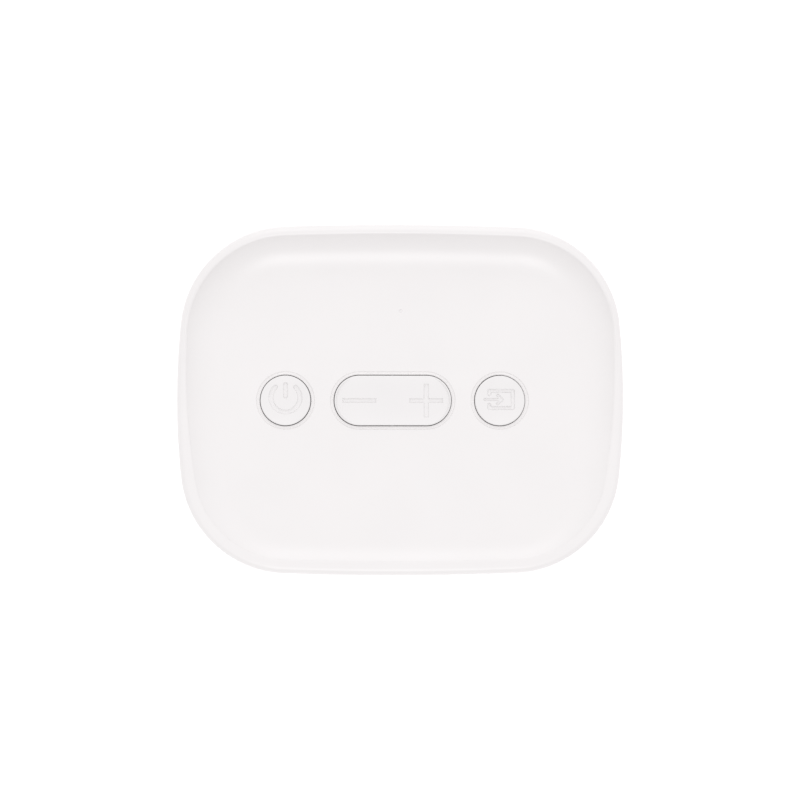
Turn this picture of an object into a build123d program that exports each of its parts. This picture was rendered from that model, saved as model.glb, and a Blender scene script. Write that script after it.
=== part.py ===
from build123d import *

import math
import os

# Smart speaker: dished top with three keys, cloth-wrapped body, rear panel, base, and everything inside.
# Millimetres. The origin is at the middle of the underside, +Z is up and the front faces -Y.

# ---------------------------------------------------------------- driving dimensions
WIDTH = 125.0  # overall, along X
DEPTH = 98.0  # overall, along Y
HEIGHT = 178.0  # to the crest of the rear rim
CORNER_RADIUS = 30.0  # plan corners
SIDE_BULGE_RADIUS = 210.0  # plan radius of the bowed sides
FRONT_BULGE_RADIUS = 900.0  # plan radius of the bowed front and back

CAP_HEIGHT = 20.0  # top cap, rear rim to the lower edge of its skirt
CAP_WALL = 2.4  # moulded wall of the cap
RIM_FALL = 4.6  # the front rim is this much lower than the rear rim
RIM_OUTER_FILLET = 1.8
RIM_INNER_FILLET = 0.5
DISH_DEPTH = 6.0  # rear rim crest to the floor of the dish
DISH_GROWTH = 2.2  # the sweep would turn vertical this far outside the plan outline
DISH_SHIFT = 2.0  # the dish sits this much nearer the front than the outline does
DISH_FOOT_RADIUS = 14.5  # sweep from the dish floor up to the rim
CAP_LIP_DROP = 2.2  # locating lip under the cap skirt
LIP_THICKNESS = 1.3

BUTTON_DIAMETER = 14.0  # round buttons, and the width of the rocker
ROCKER_LENGTH = 32.8
BUTTON_PITCH = 30.1  # rocker centre to each round button
ROCKER_X = -2.2  # the button row sits a little left of the middle
BUTTON_GAP = 0.3  # all round, between a button and its hole
WELL_WIDTH = 0.7  # sloped ring round each hole
WELL_DEPTH = 0.45
BUTTON_PROUD = 0.5  # above the dish floor
BUTTON_EDGE_FILLET = 0.4
BUTTON_WALL = 1.3
SCOOP_RADIUS = 62.0  # hollow of the button tops
ICON_DEPTH = 0.35
ICON_STROKE = 1.2
COLLAR_HEIGHT = 2.0  # guide collars under the dish floor
COLLAR_WALL = 1.5
FLANGE_THICKNESS = 1.2  # retaining flange of a round button
FLANGE_OVERLAP = 1.1
FLANGE_GAP = 0.1
POST_RADIUS = 1.9  # actuating posts under the buttons
POST_DROP = 0.8  # a post reaches this far below its flange
ROCKER_POST_OFFSET = 9.4  # rocker centre to the - and + posts
SCREW_HEAD_ROUND = 0.3  # shares of the head's height, the shank's radius and the head's radius
SCREW_TIP_SHARE = 0.4
DRIVE_REACH = 0.32
DRIVE_CORE = 0.36
DRIVE_LOBE = 0.13
ROCKER_PIN_RADIUS = 0.75
ROCKER_PIN_CLEARANCE = 0.05
ROCKER_PIN_DROP = 1.0  # pin axis under the dish floor's underside
ROCKER_PIN_BOSS = 3.5  # length of the boss at each end of the pin
PIN_BOSS_HALF_WIDTH = 2.5
ROCKER_LUG_HALF_WIDTH = 2.5
DOME_HEIGHT = 2.0
DOME_RADIUS = 4.2
KEYPAD_THICKNESS = 1.0
KEYPAD_MARGIN = 8.8
BOARD_THICKNESS = 1.6

MIC_Y = 25.2  # microphone port behind the buttons
MIC_PORT_RADIUS = 0.4
MIC_BOOT_RADIUS = 2.5
MIC_SIZE = (3.5, 2.65, 1.1)

BASE_HEIGHT = 14.0  # top edge of the base tray
BASE_WALL = 3.0
BASE_EDGE_FILLET = 5.0
FOOT_PROUD = 1.5  # rubber below the base tray
FOOT_SEAT = 1.5  # rubber inside the base tray's recess
FOOT_INSET = 6.5
SEAM = 0.4  # gap between the sleeve and the cap, base and rear panel

CLOTH_INSET = 0.7  # cloth face behind the cap skirt
CLOTH_THICKNESS = 0.8
GRILLE_THICKNESS = 1.7
SLOT_SIZE = (3.2, 14.0)
SLOT_PITCH = (6.4, 18.0)
SLOT_COUNT = (13, 7)

REAR_PANEL_WIDTH = 56.0
REAR_PANEL_THICKNESS = 2.5
REAR_PANEL_INSET = 0.6

CABINET_INSET = 8.0  # acoustic cabinet walls behind the outline
CABINET_WALL = 2.5
CABINET_PLATE = 2.4  # its top and bottom plates
CABINET_PLATE_INSET = 4.8
CABINET_BOTTOM = 42.0
CABINET_TOP_GAP = 4.6  # top of the cabinet walls to the cap skirt
CABINET_REAR_SPACE = 22.5  # back of the cabinet to the back of the outline
CABINET_FRONT_CORNER = 7.0  # the open front stops this far inside the side walls
BAFFLE_THICKNESS = 5.0
BAFFLE_GASKET = 0.8
BAFFLE_GASKET_BORDER = 12.0
BAFFLE_SEAT = 2.0  # wall left under a baffle screw's head
BAFFLE_SCREW_INSET = 22.2  # from the side of the outline
BAFFLE_BOSS_LENGTH = 8.0

WOOFER_RADIUS = 37.0
WOOFER_MARGIN = 2.0  # flange edge to the cabinet's floor
WOOFER_PLATE = 2.0  # flange thickness
WOOFER_GASKET = 0.6
WOOFER_FLANGE_WIDTH = 5.0  # the part of the flange that is glued and screwed down
WOOFER_SCREW_EDGE = 2.8  # screw circle to the flange's edge
WOOFER_SCREW_ANGLES = (45, 135, 225, 315)
ROLL_WIDTH = 5.0  # surround, cone edge to flange
ROLL_WALL = 0.6
CONE_EDGE_INSET = 12.5  # cone edge to the flange's edge
CONE_WALL = 0.6
CONE_LIP = -1.3  # depth of the cone's front edge
FORMER_RADIUS = 8.5  # inside of the voice coil former
FORMER_WALL = 0.25
WINDING_RADIUS = 9.0
POLE_RADIUS = 8.1
GAP_RADIUS = 9.4  # hole of the top plate
MAGNET_RADIUS = 25.0
MAGNET_HOLE = 12.5
CONE_NECK = -10.8  # depths behind the baffle's face, down to the yoke's back
SPIDER_SEAT = -14.0
BASKET_BACK = -18.5
TOP_PLATE_BACK = -22.0
COIL_BOTTOM = -24.0
MAGNET_BACK = -32.0
YOKE_BACK = -36.0

TWEETER_RADIUS = 16.5
TWEETER_DROP = 17.4  # top of the cabinet walls to its middle
TWEETER_PLATE = 2.2
TWEETER_SPACER = 3.2  # back of the front plate's spacer ring
TWEETER_MOTOR_RADIUS = 12.5
TWEETER_BACK = -14.0
TWEETER_SCREW_CIRCLE = 14.5
TWEETER_SCREW_ANGLES = (90, 210, 330)
DOME_EDGE = 9.2
DOME_WALL = 0.35
DOME_BASE = -2.6
RING_EDGE = 11.2  # outside of the dome's suspension
RING_WALL = 0.3

PORT_RADIUS = 11.0
PORT_WALL = 2.0
PORT_FLARE = 3.0
PORT_LENGTH = 42.4
PORT_DROP = 25.4  # top of the cabinet walls to its middle

MAIN_BOARD_STANDOFF = 3.5
MAIN_BOARD_SIZE = (48.0, 52.0)
MAIN_BOARD_RISE = 12.0  # above the cabinet's floor
AUX_X = 12.0
AUX_RISE = 12.0  # above the main board's lower edge
AUX_BORE_RADIUS = 1.8
AUX_DEPTH = 14.0
AUX_NOSE_RADIUS = 3.0
AUX_BODY = 7.0
INLET_X = -8.0
INLET_Z = 26.0
INLET_CAVITY = (15.8, 8.2)
INLET_DEPTH = 12.5
INLET_WALL = 2.2
INLET_CORNER = 2.3
INLET_PIN_RADIUS = 1.2
INLET_PIN_PITCH = 8.6
INLET_PIN_REACH = 9.0
POWER_BOARD_Z = 8.0
POWER_BOARD_SIZE = (92.0, 58.0)
POWER_BOARD_CORNER = 14.0
ANTENNA_SIZE = (8.0, 0.6, 34.0)
ANTENNA_X = 38.0
ANTENNA_DROP = 23.4  # top of the cabinet walls to its upper edge
FLEX_X = -16.6
FLEX_WIDTH = 6.0
FLEX_THICKNESS = 0.3
FLEX_BEND = 3.0
FLEX_ROOM = 1.5  # from the button board to the flex
FLEX_STANDOFF = 2.2  # from the main board to the flex
FLEX_START_Y = 26.0
FLEX_SOCKET_DROP = 9.0  # main board's top edge to its flex socket
FLEX_SOCKET_MARGIN = 1.0
HARNESS_X = 14.0
HARNESS_STANDOFF = 6.0  # from the cabinet side of the main board
HARNESS_RADIUS = 1.5
LEAD_RADIUS = 1.1
LEAD_HOLES = ((20.0, 64.0), (20.0, 84.0))  # woofer's and tweeter's, through the cabinet's back
AMPLIFIER_FINS = 5

CAP_SCREW_RADIUS = 1.25
CAP_SCREW_INSET = 6.0
CAP_SCREW_LENGTH = 8.0  # beyond the plate
CAP_BOSS_RADIUS = 2.6
BASE_SCREW_RADIUS = 1.5
BASE_SCREW_INSET = 11.0
BASE_SCREW_HEAD_Z = 33.0
BASE_BOSS_RADIUS = 4.2
REAR_SCREW_RADIUS = 1.5
REAR_SCREW_X = 24.0
REAR_SCREW_SINK = 1.3
BAFFLE_SCREW_RADIUS = 1.25
WOOFER_SCREW_RADIUS = 1.5
POWER_SCREW_RADIUS = 1.25
BOARD_SCREW_RADIUS = 1.0
BOARD_BOSS_RADIUS = 2.6
SCREW_BITE = 1.0  # a screw hole is this much deeper than its screw
FIT = 0.2  # all round, where a part stands in a window or rebate
SMALL_FIT = 0.1

# ---------------------------------------------------------------- derived levels
FLOOR_Z = HEIGHT - DISH_DEPTH
FLOOR_UNDER = FLOOR_Z - CAP_WALL
CAP_BOTTOM = HEIGHT - CAP_HEIGHT
COLLAR_BOTTOM = FLOOR_UNDER - COLLAR_HEIGHT
BUTTON_TOP = FLOOR_Z + BUTTON_PROUD
FLANGE_TOP = COLLAR_BOTTOM - FLANGE_GAP
POST_BOTTOM = FLANGE_TOP - FLANGE_THICKNESS - POST_DROP
KEYPAD_TOP = POST_BOTTOM - DOME_HEIGHT
BUTTON_BOARD_TOP = KEYPAD_TOP - KEYPAD_THICKNESS
BUTTON_BOARD_UNDER = BUTTON_BOARD_TOP - BOARD_THICKNESS
BUTTON_RADIUS = BUTTON_DIAMETER / 2
HOLE_RADIUS = BUTTON_RADIUS + BUTTON_GAP
PIN_Z = FLOOR_UNDER - ROCKER_PIN_DROP
POWER_X = ROCKER_X - BUTTON_PITCH
INPUT_X = ROCKER_X + BUTTON_PITCH
DOME_XS = (POWER_X, ROCKER_X - ROCKER_POST_OFFSET, ROCKER_X + ROCKER_POST_OFFSET, INPUT_X)
BASE_BOTTOM = FOOT_PROUD
BASE_FLOOR = BASE_BOTTOM + BASE_WALL
CABINET_TOP = CAP_BOTTOM - CABINET_TOP_GAP
PLATE_TOP = CABINET_TOP + CABINET_PLATE
PLATE_UNDER = CABINET_BOTTOM - CABINET_PLATE
SLEEVE_BOTTOM = BASE_HEIGHT + SEAM
SLEEVE_TOP = CAP_BOTTOM - SEAM
GRILLE_INSET = CLOTH_INSET + CLOTH_THICKNESS
BAFFLE_FRONT_Y = -DEPTH / 2 + CABINET_INSET
BAFFLE_BACK_Y = BAFFLE_FRONT_Y + BAFFLE_THICKNESS
CABINET_FRONT_Y = BAFFLE_BACK_Y + BAFFLE_GASKET
REAR_FACE_Y = DEPTH / 2 - REAR_PANEL_INSET
REAR_INNER_Y = REAR_FACE_Y - REAR_PANEL_THICKNESS
CABINET_BACK_Y = DEPTH / 2 - CABINET_REAR_SPACE
MAIN_BOARD_Y = CABINET_BACK_Y + MAIN_BOARD_STANDOFF
MAIN_BOARD_FACE = MAIN_BOARD_Y + BOARD_THICKNESS
MAIN_BOARD_Z = CABINET_BOTTOM + MAIN_BOARD_RISE
MAIN_BOARD_TOP = MAIN_BOARD_Z + MAIN_BOARD_SIZE[1]
POWER_BOARD_TOP = POWER_BOARD_Z + BOARD_THICKNESS
WOOFER_Z = CABINET_BOTTOM + WOOFER_MARGIN + WOOFER_RADIUS
WOOFER_SEAT = WOOFER_PLATE + WOOFER_GASKET
WOOFER_OPENING = WOOFER_RADIUS - WOOFER_FLANGE_WIDTH
WOOFER_SCREW_CIRCLE = WOOFER_RADIUS - WOOFER_SCREW_EDGE
CONE_RADIUS = WOOFER_RADIUS - CONE_EDGE_INSET
ROLL_RADIUS = CONE_RADIUS + ROLL_WIDTH / 2
TWEETER_Z = CABINET_TOP - TWEETER_DROP
PORT_Z = CABINET_TOP - PORT_DROP
AUX_Z = MAIN_BOARD_Z + AUX_RISE
SOCKET_FACE_Y = REAR_FACE_Y - SMALL_FIT
INLET_OUTER = (INLET_CAVITY[0] + 2 * INLET_WALL, INLET_CAVITY[1] + 2 * INLET_WALL)
INLET_BACK_Y = SOCKET_FACE_Y - INLET_DEPTH - INLET_WALL
FLEX_Y = MAIN_BOARD_FACE + FLEX_STANDOFF
FLEX_SOCKET_HALF = FLEX_WIDTH / 2 + FLEX_SOCKET_MARGIN
HARNESS_Y = MAIN_BOARD_Y + HARNESS_STANDOFF
LIP_INSET = GRILLE_INSET + GRILLE_THICKNESS + SMALL_FIT
PIN_BOSS_END = HOLE_RADIUS + ROCKER_PIN_BOSS
TALL = 3 * HEIGHT  # longer than anything that it cuts

FOUR_SIGNS = ((1, 1), (-1, 1), (-1, -1), (1, -1))


# ---------------------------------------------------------------- shared shapes
def arc_centres():
    """Centres of the side, front and corner arcs of the plan outline in its first quarter."""
    side = Vector(WIDTH / 2 - SIDE_BULGE_RADIUS, 0)
    front = Vector(0, DEPTH / 2 - FRONT_BULGE_RADIUS)
    to_side = SIDE_BULGE_RADIUS - CORNER_RADIUS
    to_front = FRONT_BULGE_RADIUS - CORNER_RADIUS
    between = front - side
    along = (to_side**2 - to_front**2 + between.length**2) / (2 * between.length)
    across = math.sqrt(to_side**2 - along**2)
    unit = between.normalized()
    normal = Vector(-unit.Y, unit.X)
    meets = [side + unit * along + normal * across * sign for sign in (1, -1)]
    return side, front, max(meets, key=lambda point: point.X + point.Y)


def outline(inset=0.0):
    """The plan outline as a face: eight tangent arcs, moved inwards by inset."""
    side, front, corner = arc_centres()
    half_width = WIDTH / 2 - inset
    half_depth = DEPTH / 2 - inset
    to_side = (corner - side).normalized()
    to_front = (corner - front).normalized()
    side_end = corner + to_side * (CORNER_RADIUS - inset)
    front_end = corner + to_front * (CORNER_RADIUS - inset)
    middle = corner + (to_side + to_front).normalized() * (CORNER_RADIUS - inset)
    arcs = [
        ThreePointArc((side_end.X, -side_end.Y), (half_width, 0), (side_end.X, side_end.Y)),
        ThreePointArc((side_end.X, side_end.Y), (middle.X, middle.Y), (front_end.X, front_end.Y)),
        ThreePointArc((front_end.X, front_end.Y), (0, half_depth), (-front_end.X, front_end.Y)),
        ThreePointArc((-front_end.X, front_end.Y), (-middle.X, middle.Y), (-side_end.X, side_end.Y)),
        ThreePointArc((-side_end.X, side_end.Y), (-half_width, 0), (-side_end.X, -side_end.Y)),
        ThreePointArc((-side_end.X, -side_end.Y), (-middle.X, -middle.Y), (-front_end.X, -front_end.Y)),
        ThreePointArc((-front_end.X, -front_end.Y), (0, -half_depth), (front_end.X, -front_end.Y)),
        ThreePointArc((front_end.X, -front_end.Y), (middle.X, -middle.Y), (side_end.X, -side_end.Y)),
    ]
    return make_face(Wire(arcs))


def slab(inset, low, high):
    """A solid of the plan outline between two levels."""
    return Pos(0, 0, low) * extrude(outline(inset), high - low)


def ring(outer_inset, inner_inset, low, high):
    """A wall that follows the plan outline."""
    return slab(outer_inset, low, high) - slab(inner_inset, low - 1, high + 1)


def block(x, y, z):
    """A box from (low, high) pairs."""
    middle = [(low + high) / 2 for low, high in (x, y, z)]
    return Pos(*middle) * Box(x[1] - x[0], y[1] - y[0], z[1] - z[0])


def rod(x, y, low, high, radius):
    """A vertical cylinder."""
    return Pos(x, y, (low + high) / 2) * Cylinder(radius, high - low)


def rod_y(x, z, low, high, radius):
    """A cylinder along Y."""
    return Pos(x, (low + high) / 2, z) * Rot(90, 0, 0) * Cylinder(radius, high - low)


def stadium(length, width, low, high):
    """An upright block with half-round ends, long along X."""
    return Pos(0, 0, low) * extrude(SlotOverall(length, width), high - low)


def corner_points(inset):
    """One point near each plan corner, this far inside the outline."""
    side, front, corner = arc_centres()
    outward = ((corner - side).normalized() + (corner - front).normalized()).normalized()
    point = corner + outward * (CORNER_RADIUS - inset)
    return [(point.X * sx, point.Y * sy) for sx, sy in FOUR_SIGNS]


def screw(head_radius, head_height, shank_radius, shank_length):
    """A pan-head screw: the head's underside is at z 0 and the shank points up. Six-lobe drive."""
    head = Pos(0, 0, -head_height / 2) * Cylinder(head_radius, head_height)
    head = fillet(head.edges().group_by(Axis.Z)[0], head_height * SCREW_HEAD_ROUND)
    shank = Pos(0, 0, shank_length / 2) * Cylinder(shank_radius, shank_length)
    shank = chamfer(shank.edges().group_by(Axis.Z)[-1], shank_radius * SCREW_TIP_SHARE)
    reach = head_radius * DRIVE_REACH
    lobes = [Pos(reach, 0, 0), Pos(-reach, 0, 0)]
    drive = Cylinder(head_radius * DRIVE_CORE, head_height)
    for turn in range(3):
        for lobe in lobes:
            drive += Rot(0, 0, 60 * turn) * lobe * Cylinder(head_radius * DRIVE_LOBE, head_height)
    return head + shank - Pos(0, 0, -head_height) * drive


def turned(points):
    """A solid of revolution about Z from its (radius, height) section corners."""
    section = make_face(Polyline(*[(radius, 0, height) for radius, height in points], close=True))
    return revolve(section, Axis.Z)


def facing_front(shape, x, z):
    """Puts a shape drawn about Z on the baffle: z 0 is the baffle's front face and +Z points forwards."""
    return Plane(origin=(x, BAFFLE_FRONT_Y, z), x_dir=(1, 0, 0), z_dir=(0, -1, 0)).location * shape


def lead(points, radius):
    """A round wire along a hand-chosen route, each corner as gentle as its two runs allow."""
    spots = [Vector(*point) for point in points]
    radii = []
    for before, here, after in zip(spots, spots[1:], spots[2:]):
        turn = math.radians((here - before).get_angle(after - here))
        shorter = min((here - before).length, (after - here).length)
        radii.append(0.45 * shorter / math.tan(turn / 2))
    path = FilletPolyline(*spots, radius=radii)
    start = Plane(origin=spots[0], z_dir=spots[1] - spots[0])
    return sweep(start * Circle(radius), path)


# ---------------------------------------------------------------- top cap and its buttons
def dish(grow):
    """The space of the dish, grown outwards and downwards."""
    hollow = slab(-DISH_GROWTH - grow, FLOOR_Z - grow, FLOOR_Z + 3 * DISH_FOOT_RADIUS)
    hollow = fillet(hollow.edges().group_by(Axis.Z)[0], DISH_FOOT_RADIUS + grow)
    return Pos(0, -DISH_SHIFT, 0) * hollow


def button_hole(length):
    """Hole through the dish floor with its sloped well, for a button of this length."""
    width = 2 * HOLE_RADIUS
    longer = length + 2 * BUTTON_GAP
    hole = stadium(longer, width, COLLAR_BOTTOM - 5, FLOOR_Z + 1)
    mouth = Pos(0, 0, FLOOR_Z) * SlotOverall(longer + 2 * WELL_WIDTH, width + 2 * WELL_WIDTH)
    throat = Pos(0, 0, FLOOR_Z - WELL_DEPTH) * SlotOverall(longer, width)
    return hole + loft([throat, mouth])


def round_hole():
    """Hole and sloped well for a round button."""
    hole = rod(0, 0, COLLAR_BOTTOM - 5, FLOOR_Z + 1, HOLE_RADIUS)
    well = Pos(0, 0, FLOOR_Z - WELL_DEPTH / 2) * Cone(HOLE_RADIUS, HOLE_RADIUS + WELL_WIDTH, WELL_DEPTH)
    return hole + well


def board_boss_points():
    """Where the button board is screwed to the cap."""
    return [(ROCKER_X + sx * 38, y) for sx in (1, -1) for y in (-12.5, MIC_Y)]


def dish_top():
    body = slab(0, CAP_BOTTOM, HEIGHT + RIM_FALL)
    rim = Plane(origin=(0, DEPTH / 2, HEIGHT), x_dir=(1, 0, 0), z_dir=(0, -RIM_FALL, DEPTH))
    body = split(body, bisect_by=rim, keep=Keep.BOTTOM)
    body = fillet(body.faces().sort_by(Axis.Z)[-1].edges(), RIM_OUTER_FILLET)
    hollow = slab(CAP_WALL, CAP_BOTTOM - 1, FLOOR_Z + CAP_WALL) - dish(CAP_WALL)
    body -= hollow
    body += ring(CAP_WALL / 2, LIP_INSET + LIP_THICKNESS, CAP_BOTTOM, CAP_BOTTOM + LIP_THICKNESS)
    lip = ring(LIP_INSET, LIP_INSET + LIP_THICKNESS, CAP_BOTTOM - CAP_LIP_DROP, CAP_BOTTOM)
    body += lip - rear_bay(CAP_BOTTOM - CAP_LIP_DROP - 1, CAP_BOTTOM)
    for x, y in corner_points(CAP_SCREW_INSET):
        body += rod(x, y, PLATE_TOP, FLOOR_Z, CAP_BOSS_RADIUS)
    for x, y in board_boss_points():
        body += rod(x, y, BUTTON_BOARD_TOP, FLOOR_Z - 1, BOARD_BOSS_RADIUS)
    for x in (POWER_X, INPUT_X):
        body += rod(x, 0, COLLAR_BOTTOM, FLOOR_Z - 1, HOLE_RADIUS + COLLAR_WALL)
    span = (COLLAR_BOTTOM, FLOOR_Z - 1)
    collar = stadium(ROCKER_LENGTH + 2 * (BUTTON_GAP + COLLAR_WALL), 2 * (HOLE_RADIUS + COLLAR_WALL), *span)
    collar += block((-PIN_BOSS_HALF_WIDTH, PIN_BOSS_HALF_WIDTH), (-PIN_BOSS_END, PIN_BOSS_END), span)
    body += Pos(ROCKER_X, 0, 0) * collar
    body -= dish(0)
    rim_face = [face for face in body.faces() if abs(rim.to_local_coords(face.center()).Z) < 0.01]
    body = fillet(ShapeList(rim_face).sort_by(SortBy.AREA)[-1].inner_wires()[0].edges(), RIM_INNER_FILLET)
    for x in (POWER_X, INPUT_X):
        body -= Pos(x, 0, 0) * round_hole()
    body -= Pos(ROCKER_X, 0, 0) * button_hole(ROCKER_LENGTH)
    body -= rod_y(ROCKER_X, PIN_Z, -PIN_BOSS_END, PIN_BOSS_END, ROCKER_PIN_RADIUS)
    body -= rod(0, MIC_Y, FLOOR_UNDER - 1, FLOOR_Z + 1, MIC_PORT_RADIUS)
    for x, y in corner_points(CAP_SCREW_INSET):
        body -= rod(x, y, PLATE_TOP - 1, PLATE_TOP + CAP_SCREW_LENGTH + SCREW_BITE, CAP_SCREW_RADIUS)
    for x, y in board_boss_points():
        body -= rod(x, y, BUTTON_BOARD_TOP - 1, BUTTON_BOARD_TOP + 5.5, BOARD_SCREW_RADIUS)
    return body


def rear_bay(low, high):
    """The space behind the cabinet where the rear panel stands."""
    half = REAR_PANEL_WIDTH / 2 + SEAM
    return block((-half, half), (DEPTH / 4, DEPTH), (low, high))


def engrave(body, icon):
    """Sinks an icon to an even depth below a curved button top."""
    stencil = Pos(0, 0, BUTTON_TOP - 2) * extrude(icon, 4)
    return body - (stencil - Pos(0, 0, -ICON_DEPTH) * body)


def power_icon():
    """A broken ring with a bar in the gap."""
    middle = 4.05
    gap = 42
    arc = CenterArc((0, 0), middle, 90 + gap, 360 - 2 * gap)
    ring_stroke = trace(arc, ICON_STROKE)
    bar = Pos(0, 2.0) * SlotOverall(4.4, ICON_STROKE, rotation=90)
    return Pos(0, 0.8) * (ring_stroke + bar)


def minus_icon():
    return Rectangle(9.3, ICON_STROKE)


def plus_icon():
    return Rectangle(9.3, ICON_STROKE) + Rectangle(ICON_STROKE, 9.3)


def input_icon():
    """A box that is open on the left, with an arrow going in."""
    stroke = 0.95
    width, height, gap = 6.6, 4.8, 1.5
    right, left, top = width / 2, -width / 2, height / 2
    frame = FilletPolyline(
        (left, gap), (left, top), (right, top), (right, -top), (left, -top), (left, -gap), radius=0.5
    )
    shaft = Line((left - 1.2, 0), (0.35, 0))
    head = Polyline((-0.95, 1.15), (0.35, 0), (-0.95, -1.15))
    return Pos(0.35, 0.3) * (trace(frame, stroke) + trace(shaft, stroke * 0.8) + trace(head, stroke * 0.8))


def round_button(x, icon):
    """A round key with a hollowed top, a retaining flange and a post that rests on the keypad's dome."""
    flange_bottom = FLANGE_TOP - FLANGE_THICKNESS
    body = rod(0, 0, flange_bottom, BUTTON_TOP, BUTTON_RADIUS)
    body = fillet(body.edges().group_by(Axis.Z)[-1], BUTTON_EDGE_FILLET)
    sagitta = (BUTTON_RADIUS - BUTTON_EDGE_FILLET) ** 2 / (2 * SCOOP_RADIUS)
    body -= Pos(0, 0, BUTTON_TOP - sagitta + SCOOP_RADIUS) * Sphere(SCOOP_RADIUS)
    body = engrave(body, icon)
    body += rod(0, 0, flange_bottom, FLANGE_TOP, HOLE_RADIUS + FLANGE_OVERLAP)
    body -= rod(0, 0, flange_bottom - 1, BUTTON_TOP - 2 * BUTTON_WALL, BUTTON_RADIUS - BUTTON_WALL)
    body += rod(0, 0, POST_BOTTOM, BUTTON_TOP - BUTTON_WALL, POST_RADIUS)
    return Pos(x, 0, 0) * body


def volume_rocker():
    """The long key. It tips about a steel pin, and a post at each end presses its own dome."""
    under = COLLAR_BOTTOM - 0.5
    body = stadium(ROCKER_LENGTH, BUTTON_DIAMETER, under, BUTTON_TOP)
    body = fillet(body.edges().group_by(Axis.Z)[-1], BUTTON_EDGE_FILLET)
    sagitta = (BUTTON_RADIUS - BUTTON_EDGE_FILLET) ** 2 / (2 * SCOOP_RADIUS)
    trough = Rot(0, 90, 0) * Cylinder(SCOOP_RADIUS, ROCKER_LENGTH - 2 * BUTTON_EDGE_FILLET)
    body -= Pos(0, 0, BUTTON_TOP - sagitta + SCOOP_RADIUS) * trough
    body = engrave(body, Pos(-ROCKER_POST_OFFSET, 0) * minus_icon())
    body = engrave(body, Pos(ROCKER_POST_OFFSET, 0) * plus_icon())
    inner_length = ROCKER_LENGTH - 2 * BUTTON_WALL
    inner_width = BUTTON_DIAMETER - 2 * BUTTON_WALL
    cavity = stadium(inner_length, inner_width, under - 1, BUTTON_TOP - 2 * BUTTON_WALL)
    lug = ROCKER_LUG_HALF_WIDTH
    cavity -= block((-lug, lug), (-BUTTON_RADIUS, BUTTON_RADIUS), (under - 2, BUTTON_TOP))
    body -= cavity
    for side in (-1, 1):
        body += rod(side * ROCKER_POST_OFFSET, 0, POST_BOTTOM, BUTTON_TOP - BUTTON_WALL, POST_RADIUS)
    body -= rod_y(0, PIN_Z, -BUTTON_RADIUS - 1, BUTTON_RADIUS + 1, ROCKER_PIN_RADIUS + ROCKER_PIN_CLEARANCE)
    return Pos(ROCKER_X, 0, 0) * body


def rocker_pin():
    pin = rod_y(ROCKER_X, PIN_Z, -PIN_BOSS_END, PIN_BOSS_END, ROCKER_PIN_RADIUS)
    return chamfer(pin.edges().filter_by(GeomType.CIRCLE), 0.15)


def silicone_keypad():
    """One moulded mat with a hollow dome under each post."""
    half = BUTTON_PITCH + KEYPAD_MARGIN
    mat = block(
        (ROCKER_X - half, ROCKER_X + half), (-KEYPAD_MARGIN, KEYPAD_MARGIN), (BUTTON_BOARD_TOP, KEYPAD_TOP)
    )
    mat = fillet(mat.edges().filter_by(Axis.Z), 3)
    neck = POST_RADIUS + 0.3
    for x in DOME_XS:
        mat += Pos(x, 0, KEYPAD_TOP + DOME_HEIGHT / 2) * Cone(DOME_RADIUS, neck, DOME_HEIGHT)
        mat -= Pos(x, 0, BUTTON_BOARD_TOP + 1.1) * Cone(DOME_RADIUS - 0.9, neck - 0.6, 2.2)
    return mat


def button_board():
    half = BUTTON_PITCH + 12
    low_y, high_y = -16.5, MIC_Y + 5
    board = block(
        (ROCKER_X - half, ROCKER_X + half), (low_y, high_y), (BUTTON_BOARD_UNDER, BUTTON_BOARD_TOP)
    )
    board = fillet(board.edges().filter_by(Axis.Z), 4)
    for x, y in board_boss_points():
        board -= rod(x, y, BUTTON_BOARD_UNDER - 1, BUTTON_BOARD_TOP + 1, BOARD_SCREW_RADIUS + SMALL_FIT)
    return board


def board_screws():
    part = screw(2.0, 1.4, BOARD_SCREW_RADIUS, BOARD_THICKNESS + 4.5)
    return [Pos(x, y, BUTTON_BOARD_UNDER) * part for x, y in board_boss_points()]


def microphone():
    width, depth, height = MIC_SIZE
    body = Pos(0, MIC_Y, BUTTON_BOARD_TOP + height / 2) * Box(width, depth, height)
    body = fillet(body.edges().filter_by(Axis.Z), 0.3)
    return body - rod(0, MIC_Y, BUTTON_BOARD_TOP + 0.4, FLOOR_Z, MIC_PORT_RADIUS)


def mic_boot():
    """Rubber sleeve that seals the microphone to the pinhole in the dish floor."""
    body = rod(0, MIC_Y, BUTTON_BOARD_TOP + MIC_SIZE[2], FLOOR_UNDER, MIC_BOOT_RADIUS)
    return body - rod(0, MIC_Y, BUTTON_BOARD_TOP, FLOOR_Z, MIC_PORT_RADIUS + 0.2)


def flex_socket_span():
    return FLEX_X - FLEX_SOCKET_HALF, FLEX_X + FLEX_SOCKET_HALF


def button_connector():
    low = BUTTON_BOARD_UNDER - 2 * FLEX_ROOM
    body = block(flex_socket_span(), (FLEX_START_Y - 4, FLEX_START_Y), (low, BUTTON_BOARD_UNDER))
    return fillet(body.edges().filter_by(Axis.Z), 0.4)


def button_flex():
    """Flat flex from the button board, over the cabinet and down to the main board."""
    start_z = BUTTON_BOARD_UNDER - FLEX_ROOM
    end_z = MAIN_BOARD_TOP - FLEX_SOCKET_DROP
    turn = (FLEX_X, FLEX_Y, start_z)
    path = FilletPolyline((FLEX_X, FLEX_START_Y, start_z), turn, (FLEX_X, FLEX_Y, end_z), radius=FLEX_BEND)
    start = Plane(origin=(FLEX_X, FLEX_START_Y, start_z), x_dir=(1, 0, 0), z_dir=(0, 1, 0))
    return sweep(start * Rectangle(FLEX_WIDTH, FLEX_THICKNESS), path)


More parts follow.
